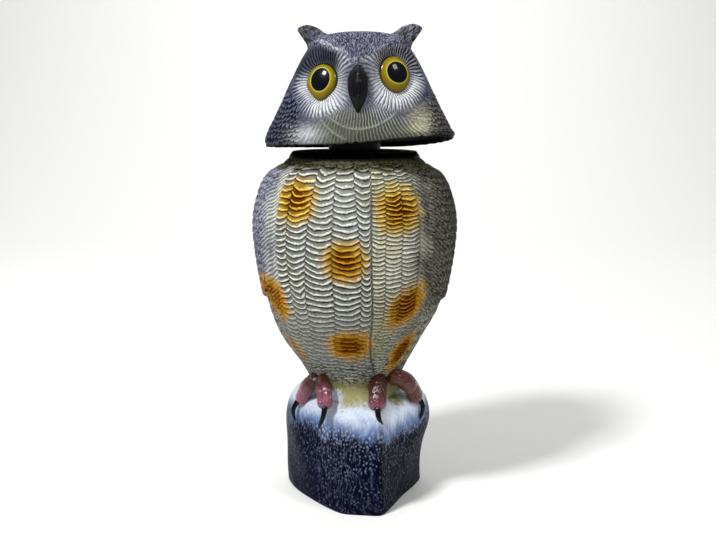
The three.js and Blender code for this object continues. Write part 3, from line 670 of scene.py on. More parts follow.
    def speckle(self):
        """Where dark specks of the ground break up the brushed lips."""
        broken = 0.22 * self.left + 0.45 * (1 - smooth(self.z, 150, 185))
        broken = broken * (self.share > 0.03) * (self.share < 0.92)
        speckle = np.clip(bell(self.z, 118, 9) * (self.away < 60) + broken, 0, 1)
        speckle = speckle * (1 - self.wing) * (self.away < 62)
        return np.maximum(speckle, 0.9 * np.maximum(self.to_wing * self.on_torso, self.collar))

    def breast_paint(self):
        """Grey with white lips, olive and cream beyond the seam, darker and duller towards the waist."""
        c = self.colours
        olive = self.left * (0.75 - 0.5 * smooth(self.azimuth, 24, 34)) * (0.75 + 0.25 * self.noise(40, 12))
        ground = mix(c["feather_grey"], c["feather_olive"], olive)
        lip = mix(c["feather_white"], c["feather_cream"], olive)
        low = 1 - smooth(self.share, 0.22, 0.5)
        lip = mix(lip, mix(ground, lip, 0.35), low * 0.7)
        ground = mix(ground, lip, low * 0.25) * (1 - 0.25 * low)[..., None]
        # More of the white was brushed on beyond the seam, and the upper breast on the owl's right is
        # lightened as painted light.
        paler = self.left * bell(self.azimuth, 26, 20) * bell(self.z, 222, 30)
        ground = mix(ground, lip, 0.55 * paler)
        lit_upper_breast = (1 - self.left) * bell(self.azimuth, -10, 22) * bell(self.z, 272, 38)
        ground = mix(ground, lip, 0.22 * lit_upper_breast)
        warm = 0.5 + 0.5 * self.noise(45, 14)
        lip = mix(lip, lip * np.array([0.95, 0.92, 0.72]), 0.4 * warm)
        return mix(ground, ground * np.array([1, 0.98, 0.75]), 0.5 * warm), lip

    def wing_paint(self):
        """Lilac to brown sides that darken to the back."""
        c = self.colours
        upwards = smooth(self.z + 8 * self.noise(30, 13), 215, 280)
        cool = mix(c["wing_lilac"] * 0.75, c["wing_lilac"], upwards)
        leftwards = smooth(np.sin(self.turn) + 0.2 * self.noise(60, 15), -0.5, 0.5)
        tone = mix(cool, c["wing_brown"], leftwards)
        dark_side = smooth(self.away, 66, 104) * (0.85 + 0.15 * np.sin(self.turn))
        return coat((tone * 0.8, tone * 1.9), (tone * 0.15, tone * 0.7), dark_side)

    def with_spots(self, paint):
        """Sprayed spots over the breast, with a painted highlight on the lips of the upper ones and more
        orange lower down.
        """
        c = self.colours
        amber = mix(np.array([1.0, 0.86, 0.6]), np.ones(3), smooth(self.z, 160, 240))
        # Painted highlight: the lips of the upper spots whiten with height, where light from above catches
        # them.
        upper_highlight = 1 + smooth(self.z, 190, 285)[..., None] * np.array([0.7, 1.1, 2.2])
        rim = c["spot_edge"] * amber
        ragged = 0.1 * self.noise(11, 6) + 0.05 * self.noise(5, 7)
        for at, height, half, tall, lean, strength in SPOTS:
            across = turn_between(self.azimuth, at)
            up = (self.z - height - lean * across) / tall
            far = (np.abs(across / half) ** 2.2 + np.abs(up) ** 2.2) ** (1 / 2.2) + ragged
            core = strength * (1 - smooth(far, 0.3, 0.98))
            halo = strength * (1 - smooth(far, 0.68, 1.32))
            spot_lip = mix(rim * 1.1, c["spot_lip"] * amber, core) * upper_highlight
            paint = coat(paint, (mix(rim, c["spot_core"], core), spot_lip), halo)
        return paint

    def stump_paint(self):
        """Bare plastic, white overspray, lilac and navy from the toes down, and the colour of the flecks."""
        c = self.colours
        # Painted shade: the bare plastic above the crease lies under the torso and is drawn darker there.
        bare = c["bare_cream"] * (0.82 + 0.18 * (1 - smooth(self.z, 99.5, 101)))[..., None]
        left_front = smooth(self.azimuth, 14, 20) * (self.azimuth < 130)
        dark = mix(c["stump_navy"], c["cheek_dark"] * 0.4, left_front)
        front = smooth(-self.y, -10, 25)
        ground = mix(dark, c["stump_lilac"], smooth(self.spray_edge, 60, 79) * (0.4 + 0.6 * front))
        thick = 0.82 + 0.3 * smooth(self.azimuth, 15, 35)
        ground = mix(ground, c["overspray"] * thick[..., None], smooth(self.spray_edge, 72, 89))
        # The spray missed the plastic between the feet and beside the last toe.
        off_front, off_toe = (np.abs(turn_between(self.azimuth, middle)) for middle in (4, 47))
        sprayed = smooth(off_front, 12, 20) * smooth(off_toe, 5, 12) * (1 - smooth(self.spray_edge, 96, 103))
        ground = mix(bare, ground, np.maximum(1 - smooth(self.spray_edge, 90, 97), sprayed))
        fleck = mix(c["stump_fleck"], c["overspray"] * 0.44, smooth(self.spray_edge, 56, 72))
        return ground, mix(fleck, ground, smooth(self.spray_edge, 72, 84))

    def paint(self):
        """Ground and lip colours from the breast outwards, then neck, stump and the neck's black top."""
        c = self.colours
        paint = coat(self.breast_paint(), self.wing_paint(), self.to_wing)
        belly = mix(c["feather_grey"], c["feather_cream"], 0.35)
        beside = (1 - smooth(self.share, 0.3, 0.42)) * (1 - self.wing) * self.to_wing
        paint = coat(paint, (belly * 0.62, belly * 0.85), beside)
        paint = self.with_spots(paint)
        paint = coat(paint, (c["neck_olive"], c["neck_olive"] * 2.2), self.collar)
        paint = coat(paint, self.stump_paint(), self.below_torso)
        return coat(paint, (c["black"], c["black"]), self.black_top)

    def build(self):
        """Places of all points, and the fields that the paint is drawn from."""
        self.lay_out()
        places, fields = self.feathers()
        ground, lip = self.paint()
        z, azimuth = self.z, self.azimuth
        # The flecks thin out towards the foot and round both sides.
        flecked = (1 - smooth(z, self.stump_height - 2, self.waist)) * np.where(azimuth > 17, 0.9, 1)
        flecked = flecked * (1 - 0.5 * smooth(-azimuth, 28, 40)) * (0.55 + 0.45 * smooth(z, 5, 55))
        # The seam fades out up the breast, and there is none on the neck.
        off_seam = np.abs(self.x - np.where(self.y < 0, 1, -1) * through(SEAM_LINE, 1, z))
        off_seam = off_seam + smooth(z, 140, 170) + 20 * (1 - self.on_torso) * (z > NECK_TOP - 12)
        rings = 0.5 + 0.5 * np.sin(z * 2.6 + 2 * self.wobble)
        fields |= {
            "paint_ground": ground,
            "paint_lip": lip,
            "ridge": 0.35 * self.collar * (1 - self.black_top) * rings,
            "fleck": flecked,
            "seam": off_seam,
            "band": self.below_torso * bell(self.spray_edge, 69, 9),
            "gloss": np.maximum(self.below_torso, self.black_top),
        }
        return places, fields


class Head:
    """Shape and paint of the head in millimetres, in its own tilted frame."""

    def __init__(self, shape, colours):
        self.height = shape.head_height / MM
        self.width = shape.head_width / MM
        self.depth = shape.head_depth / MM
        self.eye_width = shape.eye_width / MM
        self.eye_height = shape.eye_height / MM
        self.ear_width = shape.ear_width / MM
        self.colours = colours
        # Middle of the disc of the face and of the beak across the head.
        self.middle = 3.5
        self.beak_x = -1.3
        # The head sits on the hub a little to one side and leans.
        turned = Matrix.Rotation(-math.radians(0.5), 4, "Y") @ Matrix.Rotation(-math.radians(3.5), 4, "X")
        self.place = np.array(Matrix.Translation((4.8, 0, NECK_TOP + 4.5)) @ turned)

    def to_world(self, points):
        """World millimetres of points in the head's frame."""
        return points @ self.place[:3, :3].T + self.place[:3, 3]

    def eye_middles(self):
        """Place across and up of each eye."""
        return [(eye.across * self.width / 2, eye.up * self.height) for eye in EYES]

    def radius(self, azimuth, share):
        """Radius of the plain head."""
        halves = (self.width / 2, self.depth / 2, self.depth / 2)
        sizes = (half * through(HEAD_SECTIONS, k, share) for k, half in enumerate(halves, 1))
        side, front, back = (np.maximum(size, 1e-4) for size in sizes)
        return section(azimuth, side, front, back, 2.15)

    def hollow(self, x, z, facing):
        """Depth of the round hollows that the eyes lie in, 54 mm wide and 7 mm deep."""
        deepest = np.zeros_like(x)
        for eye_x, eye_z in self.eye_middles():
            distance = np.minimum(np.hypot(x - eye_x, z - eye_z) / 27, 1)
            deepest = np.maximum(deepest, 7 * (1 - distance**2) ** 1.5)
        return deepest * facing

    def from_brow(self, x, z):
        """Distance from the crest of the nearer brow, which runs from the beak to the front of the ear."""
        run_x, run_z = BROW_RUN
        off_x, off_z = np.abs(x - self.beak_x), z - (self.height - BROW_FOOT)
        share = np.clip((off_x * run_x + off_z * run_z) / (run_x**2 + run_z**2), 0, 1)
        return np.hypot(off_x - share * run_x, off_z - share * run_z)

    def off_face(self, x, z):
        """How far a point lies outside the disc of the face, whose edge widens above the cheeks."""
        return np.abs(x - self.middle) - 55 - 10 * smooth(z, 33, 50)

    def surface(self, azimuth, share):
        """Point of the plain head with its hollows and brows."""
        turn = np.radians(azimuth)
        radius = self.radius(azimuth, share)
        z = share * self.height
        x = radius * np.sin(turn)
        facing = (np.cos(turn) > 0).astype(float)
        ridge = 1.6 * bell(self.off_face(x, z), 0, 3) * facing * (1 - smooth(z, 34, 46))
        brow = 3.5 * bell(self.from_brow(x, z), 0, 7) * facing
        moved = radius + ridge + brow - self.hollow(x, z, facing)
        return moved * np.sin(turn), -moved * np.cos(turn), z

    def eye_seat(self, index):
        """Matrix of an eye in the head's frame: its y axis looks out of the face and its z axis down."""
        eye_x, eye_z = self.eye_middles()[index]
        share = eye_z / self.height
        y = self.surface(np.array(0.0), share)[1]
        for _ in range(6):
            azimuth = math.degrees(math.atan2(eye_x, -float(y)))
            x, y, z = self.surface(np.array(azimuth), share)
        turned = Matrix.Rotation(math.radians(EYES[index].outward), 4, "Z")
        turned = turned @ Matrix.Rotation(math.pi - math.radians(EYES[index].upward), 4, "X")
        return Matrix.Translation((float(x), float(y), float(z))) @ turned

    def eye_frame(self, index):
        """Matrix of an eye in world millimetres."""
        return Matrix(self.place) @ self.eye_seat(index)

    def seat_eyes(self, points):
        """Moves the face round each eye into a lid that meets the eye, and sinks it behind the eye.

        Also gives the distance from the nearer eye's middle, 1 at its rim, and NOT_NEAR away from both.
        """
        nearest = np.full(points.shape[:-1], NOT_NEAR)
        facing = points[..., 1] < 0
        for index, eye in enumerate(EYES):
            seat = np.array(self.eye_seat(index))
            local = (points - seat[:3, 3]) @ seat[:3, :3]
            down = local[..., 2] / (self.eye_height / 2)
            across = local[..., 0] / eye.narrowed(down) / (self.eye_width / 2)
            far = np.where(facing, np.hypot(across, down), NOT_NEAR)
            lid = 1 - smooth(far, 1.05, 1.45)
            local[..., 1] = mix(local[..., 1], 0.5 - 4 * np.abs(far - 1.08), lid)
            local[..., 1] -= 5.5 * (1 - smooth(far, 0.93, 0.99))
            moved = local @ seat[:3, :3].T + seat[:3, 3]
            points = np.where((lid > 0)[..., None], moved, points)
            nearest = np.minimum(nearest, far)
        return points, nearest

    def shares(self, count):
        """Shares of the height from crown to rim, evenly spaced along the surface."""
        share = np.linspace(1, 0, 4001)
        radius = self.radius(np.array(50.0), share)
        run = np.hypot(np.diff(radius), np.diff(share * self.height))
        total = np.concatenate([[0], np.cumsum(run)])
        return np.interp(np.linspace(0, total[-1], count), total, share)

    def rays(self, x, z):
        """Angle round the nearer eye in rays and distance from its middle in eye radii."""
        angles, fars = [], []
        for eye_x, eye_z in self.eye_middles():
            across, up = (x - eye_x) / (self.eye_width / 2), (z - eye_z) / (self.eye_height / 2)
            angles.append(np.arctan2(-up, across) / (2 * math.pi) * RAYS)
            fars.append(np.hypot(across, up))
        return np.where(fars[1] < fars[0], angles[1], angles[0]), np.minimum(*fars)

    def pull_ears(self, points):
        """Ears drawn out of the crown: points in a patch wrap onto a leaning horn with a blunt end.

        Also gives how much of an ear each point is.
        """
        pulled = points.copy()
        amount = np.zeros(points.shape[:-1])
        half = self.ear_width / 2
        for tip_share in EAR_TIPS:
            tip = np.array([tip_share * self.width / 2, -3, self.height + 5.5])
            foot = np.array([math.copysign(27, tip_share), -1, self.height - 22])
            line = [(bend[0], *(foot + (tip - foot) * bend[1:])) for bend in np.array(EAR_BENDS)]
            root, upper = (np.array([float(through(line, k, s)) for k in (1, 2, 3)]) for s in (0.35, 0.75))
            along = unit(upper - root)
            across = unit(np.cross(along, (0, 1.0, 0)))
            depth = np.cross(across, along)
            offset = points - root
            u, v, up = offset @ across, offset @ depth, offset @ along
            patch = np.clip(1 - np.hypot(u / (half * 0.8), v / (half * 0.66)), 0, 1) * smooth(up, -17, -11)
            s = 0.3 + 0.7 * patch**0.65
            middle = np.stack([through(line, k, s) for k in (1, 2, 3)], axis=-1)
            width = half * through(EAR_WIDTHS, 1, s) * np.sqrt(np.clip(1 - s**20, 0, 1))
            grow = width / np.maximum(np.hypot(u, v / 0.8), 1e-6)
            level = mix(across, np.array([-1.0, 0, 0]), 0.5 * smooth(s, 0.6, 0.95))
            horn = middle + level * (u * grow)[..., None] + depth * (v * grow * 0.85)[..., None]
            blend = smooth(patch, 0, 0.24)
            pulled = pulled + (horn - pulled) * blend[..., None]
            amount = np.maximum(amount, blend)
        return pulled, amount

    def lay_out(self):
        """Rings and columns of the plain head, and the regions that relief and paint share."""
        self.columns = columns_round(424, 0.52, 1.45, 0, 62, 80)
        shares = self.shares(205)
        self.azimuth = np.broadcast_to(self.columns, (len(shares), len(self.columns)))
        self.share = np.broadcast_to(shares[:, None], self.azimuth.shape)
        x, y, z = self.surface(self.azimuth, self.share)
        self.x, self.y, self.z = x, y, z
        self.off_disc = self.off_face(x, z)
        self.facing = np.cos(np.radians(self.azimuth)) > 0
        self.angle, self.far = self.rays(x, z)
        self.mid = mid = x - self.beak_x
        self.on_face = np.where(self.facing, 1 - smooth(self.off_disc, -5, 3), 0)
        self.chin = self.on_face * (1 - smooth(z + 0.007 * (x - self.middle) ** 2, 24, 36))
        crown = self.on_face * smooth(z - 0.45 * np.abs(mid), 66, 72)
        self.crown = np.maximum(crown, smooth(self.share, 0.8, 0.9))
        self.scales = (1 - self.on_face) * (1 - smooth(self.share, 0.84, 0.95))
        # The shader draws rays round the eyes, grooves on the chin and strokes on the crown.
        self.muzzle = bell(mid, 0, 16) * bell(z, 44, 20)
        rays = self.on_face * (1 - 0.85 * smooth(self.far, 1.6, 2.3)) * (1 - 0.8 * self.chin)
        self.ray_zone = rays * (1 - self.crown) * (1 - 0.9 * self.muzzle)
        self.groove_zone = self.chin * (1 - self.ray_zone) * (0.7 + 0.3 * smooth(mid, -12, 8))
        self.stroke_zone = np.clip(1 - self.scales - self.ray_zone - self.groove_zone, 0, 1)
        # Two smile-shaped ridges bound the bands of the lower face.
        self.smile = 12 + np.where(mid < 0, 0.0183, 0.0138) * mid**2
        jaw = 1.3 + 0.0202 * mid**2
        arcs = bell(z, self.smile, 1.1) * (1 - smooth(np.abs(mid), 29, 36))
        arcs = arcs + bell(z, jaw, 1.1) * (1 - smooth(np.abs(mid + 22), 10, 15))
        self.arcs = np.clip(arcs, 0, 1) * self.facing

    def modelled(self, lay):
        """Points with scales, rays, muzzle and ridges, the rim with its fringe, ears and eyelids.

        Also gives the fringe's drop, how much of an ear each point is, and its distance from the eyes.
        """
        x, y, z = self.x, self.y, self.z
        muzzle = 2.2 * bell(self.mid, 0, 19) * bell(z, 24, 17) * self.facing
        rays = np.cos(2 * math.pi * self.angle) * (1 - smooth(self.far, 1.6, 2.2))
        relief = 0.25 * self.ray_zone * rays + muzzle + 0.5 * self.arcs
        relief = relief + 0.9 * self.scales * (feather_height(*scallops(*lay, 0.5)) - 0.5)
        grown = 1 + relief / np.maximum(np.hypot(x, y), 8)
        points = np.stack([x * grown, y * grown, z], axis=-1)
        # The rim is higher on both sides, and a fringe of feather tips hangs from it.
        away = np.minimum(np.abs(turn_between(self.azimuth, 65)), 90)
        lift = 7 * np.cos(np.radians(away)) ** 2 * (1 - smooth(z, 0, 16))
        level = np.zeros_like(z)
        ragged = ripple(self.azimuth, level, level, 8, 26) + 0.6 * ripple(self.azimuth, level, level, 3, 27)
        fringe = (0.5 + 0.5 * np.cos(np.radians(self.azimuth))) * ragged
        points[..., 2] += lift + fringe * (1 - smooth(z, 0, 3.5))
        points, ear = self.pull_ears(points)
        points, at_eye = self.seat_eyes(points)
        return points, fringe, ear, at_eye

    def build(self):
        """Places of all points, and the fields that the paint is drawn from."""
        self.lay_out()
        c, x, z, mid, far = self.colours, self.x, self.z, self.mid, self.far
        wobble = 0.25 * ripple(x, self.y, z, 24, 24) + 0.1 * ripple(x, self.y, z, 8, 25)
        row = (self.height - z) / 4.5 + 1.6 * wobble
        lay = (np.abs(self.azimuth) / 4.4 + 0.5 * wobble, row, np.full_like(z, 0.6))
        points, fringe, ear, at_eye = self.modelled(lay)
        # Regions of the paint.
        to_left = smooth(np.sin(np.radians(self.azimuth)), 0.2, 0.95)
        to_rim = (1 - smooth(z, 2, 34)) * (1 - self.on_face)
        top = np.maximum(smooth(self.share, 0.55, 0.8), self.crown)
        face = self.on_face * (1 - self.crown)
        off_eyes = smooth(far, 1.45, 2.2) * smooth(np.abs(mid), 18, 34)
        under_eye = smooth(-(z - 0.56 * self.height), -12, 8)
        inner = 1 - smooth(np.abs(mid), 12, 24)
        bright = face * bell(far, 1.15, 0.5) * np.maximum(under_eye, inner)
        # Painted shade under the brow above each eye, deeper over the owl's right eye.
        shaded = face * (1 - under_eye) * (1 - smooth(far, 2.2, 3)) * smooth(np.abs(mid), 10, 20)
        shaded = shaded * np.where(x < self.middle, 1, 0.7)
        lower = face * (1 - smooth(z + 0.008 * mid**2, 20, 38)) * (1 - 0.6 * bright)
        under_smile = smooth(self.smile - z, -2, 3)
        bold = lower * bell(mid, 24, 13) * bell(z, 24, 9)
        cheek = face * smooth(self.off_disc, -16, -3) * smooth(z, 20, 36)
        # Painted shade round the upper half of the beak, where it stands out from the face.
        shade_by_beak = np.exp(-((mid / 15) ** 4)) * bell(z, 57, 13) * face
        # Painted highlight along the crest of each brow, strongest on the owl's right where the light falls.
        crest = bell(self.from_brow(x, z), 0, 1.7) * self.facing * smooth(np.abs(mid), 4, 12)
        crest = crest * np.where(mid < 0, 1, 0.25)
        right_patch = bell(x, -45, 13) * bell(z, 8, 8) * self.facing
        left_patch = bell(x, 51, 12) * bell(z, 17, 14) * self.facing
        dark_rim = 1 - smooth(z + fringe, -0.6, 1.8)
        socket = 1 - smooth(at_eye, 0.97, 1.0)
        # Coats from the first to the last: cover, colour of the ground and colour of the lips and lines.
        dark, stroke, slate = c["cheek_dark"], c["crown_stroke"], c["crown_slate"]
        silver, pale, shade, black = c["face_silver"], c["chin_pale"], c["face_shade"], c["black"]
        coats = [
            (np.ones_like(z), dark, c["cheek_scale"]),
            (to_left, c["wing_brown"] * 0.2, stroke * np.array([0.6, 0.54, 0.52])),
            (0.6 * to_rim, None, dark * 1.6),
            (top, slate, stroke),
            (face, shade, mix(silver, stroke * 0.6, off_eyes)),
            (0.8 * face * self.muzzle, shade * 2.6, stroke * 1.1),
            # Silver round the lower half of each eye and between both, and slate as painted shade under the
            # brows.
            (0.7 * bright, silver * 0.7, None),
            (0.9 * shaded, dark * 1.2, stroke * 0.38),
            # Lower face, with bolder strokes to the left of the beak, and the cheeks' outer edges.
            (lower, c["chin_olive"], mix(pale * 1.25, pale * 0.8, under_smile)),
            (0.7 * bold, None, silver * 0.8),
            (0.8 * cheek, dark, c["cheek_scale"]),
            # Painted shade round the beak's upper half darkens ground and lips to slate.
            (0.85 * shade_by_beak, slate * 0.7, None),
            (0.75 * shade_by_beak, None, slate * 1.6),
            # Painted highlight along the crests of the brows, pale lips on the two ridges, then the pale
            # patches at the corners of the face.
            (0.8 * crest, stroke * 0.7, silver),
            (self.arcs, None, pale * 1.15),
            (0.8 * right_patch, silver * 0.5, None),
            (right_patch, None, silver),
            (0.8 * left_patch, c["feather_olive"] * 0.8, None),
            (left_patch, None, c["feather_cream"] * 0.85),
            (ear, c["wing_brown"] * 0.35, stroke * np.where(x < 0, 0.55, 0.9)[..., None]),
            (np.maximum(dark_rim, socket), black, black),
        ]
        ground = lip = np.zeros(x.shape + (3,))
        for cover, on_ground, on_lip in coats:
            ground = ground if on_ground is None else mix(ground, on_ground, cover)
            lip = lip if on_lip is None else mix(lip, on_lip, cover)
        painted = (1 - dark_rim) * (1 - socket)
        # The rays fade in the painted shade under the brows, more over the owl's right eye.
        rays = self.ray_zone * (1 - np.where(x < self.middle, 0.7, 0.35) * shaded) * (1 - ear)
        zones = np.stack([self.scales * (1 - ear), rays, self.groove_zone], axis=-1)
        fields = {
            "paint_ground": ground,
            "paint_lip": lip,
            "lay": np.stack(lay, axis=-1),
            "zones": zones * painted[..., None],
            "barb": np.degrees(np.arctan2(mid, np.maximum(78 - z, 1))) / 2.3,
            "bias": 0.5 + 0.3 * bright - 0.24 * shaded - 0.15 * cheek - 0.34 * lower,
            "fleck": np.maximum(self.stroke_zone, ear) * painted,
            "ridge": 0.75 * self.arcs,
        }
        return self.close(points, fields)

    def close(self, points, fields):
        """Adds the dished underside with the recess for the hub and its socket."""
        turn = np.radians(self.columns)
        rows = [self.to_world(points[-1] * (s, s, 1) + (0, 0, rise)) for s, rise in DISH]
        axis = np.stack([np.sin(turn), -np.cos(turn), 0 * turn], axis=-1)
        recess = axis * (HUB_HIGH.x / MM + 2)
        lip = recess + (0, 0, rows[-1][:, 2].mean())
        bore = axis * 11.4
        seat, ceiling = NECK_TOP + 10.6, HUB_HIGH.z / MM + 2
        rows += [rows[-1] + (lip - rows[-1]) * share for share in (0.3, 0.65, 1)]
        rows += [recess + (0, 0, seat), bore + (0, 0, seat), bore + (0, 0, ceiling)]
        rows.append(np.tile((0, 0, ceiling), (len(turn), 1)))
        world = np.concatenate([self.to_world(points), np.stack(rows)])
        world[0] = world[0].mean(axis=0)
        count = len(rows)
        closed = {}
        for key, values in fields.items():
            last = values[-1:] * (0 if key in ("zones", "fleck", "ridge") else 1)
            closed[key] = np.concatenate([values, np.repeat(last, count, axis=0)])
        for key in ("paint_ground", "paint_lip"):
            closed[key][-count:] = self.colours["black"]
        # The underside is the roughest, because a smooth black mirrors the pale floor at a low angle.
        closed["stagger"] = np.full(world.shape[:2], 0.5)
        closed["gloss"] = np.zeros(world.shape[:2])
        closed["gloss"][-count:] = -3
        return world, closed


def unit(rows):
    """Vectors of length one."""
    return rows / np.maximum(np.linalg.norm(rows, axis=-1, keepdims=True), 1e-9)


def blunt(share, power):
    """Half width along a limb with rounded ends, blunter for a higher power."""
    return np.sqrt(np.clip(1 - np.abs(2 * share - 1) ** power, 0, 1))


def limb(name, points, half, flat, keel, columns, rings, on_stump):
    """Closed form along a curve: half gives its half width, flat its depth and keel its squareness.

    On the stump its upper side looks up and away from the axis, elsewhere it looks ahead.
    """
    points = np.array(points, float)
    marks = np.concatenate([[0], np.cumsum(np.linalg.norm(np.diff(points, axis=0), axis=1))])
    stations = [(mark, *point) for mark, point in zip(marks / marks[-1], points)]
    share = (1 - np.cos(np.linspace(0, math.pi, rings))) / 2
    middle = np.stack([through(stations, k, share) for k in (1, 2, 3)], axis=-1)
    run = unit(np.gradient(middle, share, axis=0))
    looks = np.tile((0, -1.0, 0), (rings, 1))
    if on_stump:
        looks = unit(middle * (1, 1, 0)) + (0, 0, 0.6)
    out = unit(np.cross(run, np.cross(looks, run)))
    side = np.cross(out, run)
    around = np.arange(columns) / columns
    cos, sin = np.cos(around * 2 * math.pi), np.sin(around * 2 * math.pi)
    size = (np.abs(cos) ** keel + np.abs(sin) ** keel) ** (-1 / keel)
    width = half(share)
    width[0] = width[-1] = 0
    places = (
        middle[:, None]
        + out[:, None] * (width[:, None] * flat * size * cos)[..., None]
        - side[:, None] * (width[:, None] * size * sin)[..., None]
    )
    shape = places.shape[:2]
    fields = {"along": np.broadcast_to(share[:, None], shape), "around": np.broadcast_to(around, shape)}
    return ringed(name, places, fields)


def add(tree, kind, *values, inputs=None, stops=None, **named):
    """Adds a shader node with its settings and links, and returns its outputs.

    Values go to its first inputs in turn, and inputs says where others go. Each other name is an input, with
    _ for a space, or else a setting. Stops are the positions and colours of a ramp.
    """
    made = tree.nodes.new("ShaderNode" + kind)
    given = dict(enumerate(values)) | (inputs or {})
    for key, value in named.items():
        socket = key.replace("_", " ")
        if socket in made.inputs:
            given[socket] = value
        else:
            setattr(made, key, value)
    for key, value in given.items():
        if isinstance(value, bpy.types.NodeSocket):
            tree.links.new(value, made.inputs[key])
        else:
            made.inputs[key].default_value = value
    if stops:
        elements = made.color_ramp.elements
        while len(elements) < len(stops):
            elements.new(0.5)
        for element, (position, value) in zip(elements, stops):
            element.position = position
            element.color = (value, value, value, 1) if isinstance(value, (int, float)) else (*value, 1)
    return made.outputs


def new_material(name):
    """Empty material, the function that adds nodes to it, and the place of a point in its object."""
    material = bpy.data.materials.new(name)
    material.use_nodes = True
    material.node_tree.nodes.clear()
    node = partial(add, material.node_tree)
    return material, node, node("TexCoord")["Object"]


def drawn_out(node, vector, scale, rotation=(0, 0, 0)):
    """Noise drawn out into strokes, with a scale for each axis."""
    stretched = node("Mapping", Vector=vector, Scale=scale, Rotation=rotation)[0]
    return node("TexNoise", Vector=stretched, Scale=1, Detail=1)["Fac"]


def finish_material(node, inputs):
    """Ends the tree in a surface with these inputs."""
    shader = node("BsdfPrincipled", inputs=inputs)
    node("OutputMaterial", Surface=shader[0])


def feather_rows(node, tremble):
    """Overlapping feathers: distance above the lip, below the lip before and off the feather's middle.

    It repeats scallops in the shader, where the rows can be finer than the mesh.
    """
    lay = node("Attribute", attribute_name="lay")["Vector"]
    column, row_at, sag = node("SeparateXYZ", Vector=lay)
    stagger = node("Attribute", attribute_name="stagger")["Fac"]
    start = node("Math", column, operation="FLOOR")[0]
    start = node("Math", start, COLUMN_SHIFT, operation="MULTIPLY")[0]
    start = node("Math", start, operation="FRACT")[0]
    aligned = node("Math", stagger, -2.0, 1.0, operation="MULTIPLY_ADD")[0]
    aligned = node("Math", aligned, start, operation="MULTIPLY")[0]
    row = node("Math", row_at, aligned, operation="ADD")[0]
    row = node("Math", row, tremble, operation="ADD")[0]
    across = node("Math", column, operation="FRACT")[0]
    across = node("Math", across, 0.5, operation="SUBTRACT")[0]
    across = node("Math", across, operation="ABSOLUTE")[0]
    deep = node("Math", sag, 4.0, operation="MULTIPLY")[0]

    def lip_line(n):
        """Where the lip of a row hangs."""
        parity = node("Math", n, 2.0, operation="MODULO")[0]
        part = node("Math", parity, stagger, column, operation="MULTIPLY_ADD")[0]
        part = node("Math", part, operation="FRACT")[0]
        line = node("Math", 1.0, part, operation="SUBTRACT")[0]
        line = node("Math", line, part, operation="MULTIPLY")[0]
        return node("Math", line, deep, n, operation="MULTIPLY_ADD")[0]

    first = node("Math", row, operation="FLOOR")[0]
    inside = node("Math", row, lip_line(first), operation="LESS_THAN")[0]
    number = node("Math", first, 1.0, operation="ADD")[0]
    number = node("Math", number, inside, operation="SUBTRACT")[0]
    above = node("Math", lip_line(number), row, operation="SUBTRACT")[0]
    before = node("Math", number, 1.0, operation="SUBTRACT")[0]
    below = node("Math", row, lip_line(before), operation="SUBTRACT")[0]
    return above, below, across


def sprayed_polyethylene(node, place, lines, shade, height, sheen):
    """Satin sprayed and dry-brushed paint on blow-moulded polyethylene, with worn and cloudy patches.

    Lines is the brushed part from 0 to 1, shade a factor on the colour, height the fine relief and sheen the
    strength of the reflection, which is faint because the paint is matt.
    """
    ground = node("Attribute", attribute_name="paint_ground")["Color"]
    lip = node("Attribute", attribute_name="paint_lip")["Color"]
    gloss = node("Attribute", attribute_name="gloss")["Fac"]
    # The dry brush misses a lip here and there, over about 3 mm.
    missed = node("TexNoise", Vector=place, Scale=330, Detail=2)["Fac"]
    worn = node("ValToRGB", Fac=missed, stops=[(0.3, 0.6), (0.45, 1)])[0]
    bright = node("Math", lines, worn, operation="MULTIPLY")[0]
    both = node("Mix", inputs={0: bright, 6: ground, 7: lip}, data_type="RGBA", clamp_factor=True)[2]
    clouds = node("TexNoise", Vector=place, Scale=40, Detail=3)["Fac"]
    cloudy = node("ValToRGB", Fac=clouds, stops=[(0.3, 0.88), (0.65, 1)])[0]
    tone = node("Math", shade, cloudy, operation="MULTIPLY")[0]
    shaded = {0: 1.0, 6: both, 7: tone}
    colour = node("Mix", inputs=shaded, data_type="RGBA", blend_type="MULTIPLY")[2]
    # The grain of the spray is really about 0.2 mm and is drawn at 1 mm so that it shows.
    pores = node("TexNoise", Vector=place, Scale=1000, Detail=2)["Fac"]
    grainy = node("Math", pores, 0.07, height, operation="MULTIPLY_ADD")[0]
    normal = node("Bump", Height=grainy, Distance=0.0008, Strength=0.9)[0]
    rough = node("Math", gloss, -0.16, 0.44, operation="MULTIPLY_ADD")[0]
    rough = node("Math", clouds, 0.08, rough, operation="MULTIPLY_ADD")[0]
    surface = {"Base Color": colour, "Roughness": rough, "Normal": normal, "Specular IOR Level": sheen}
    finish_material(node, surface)


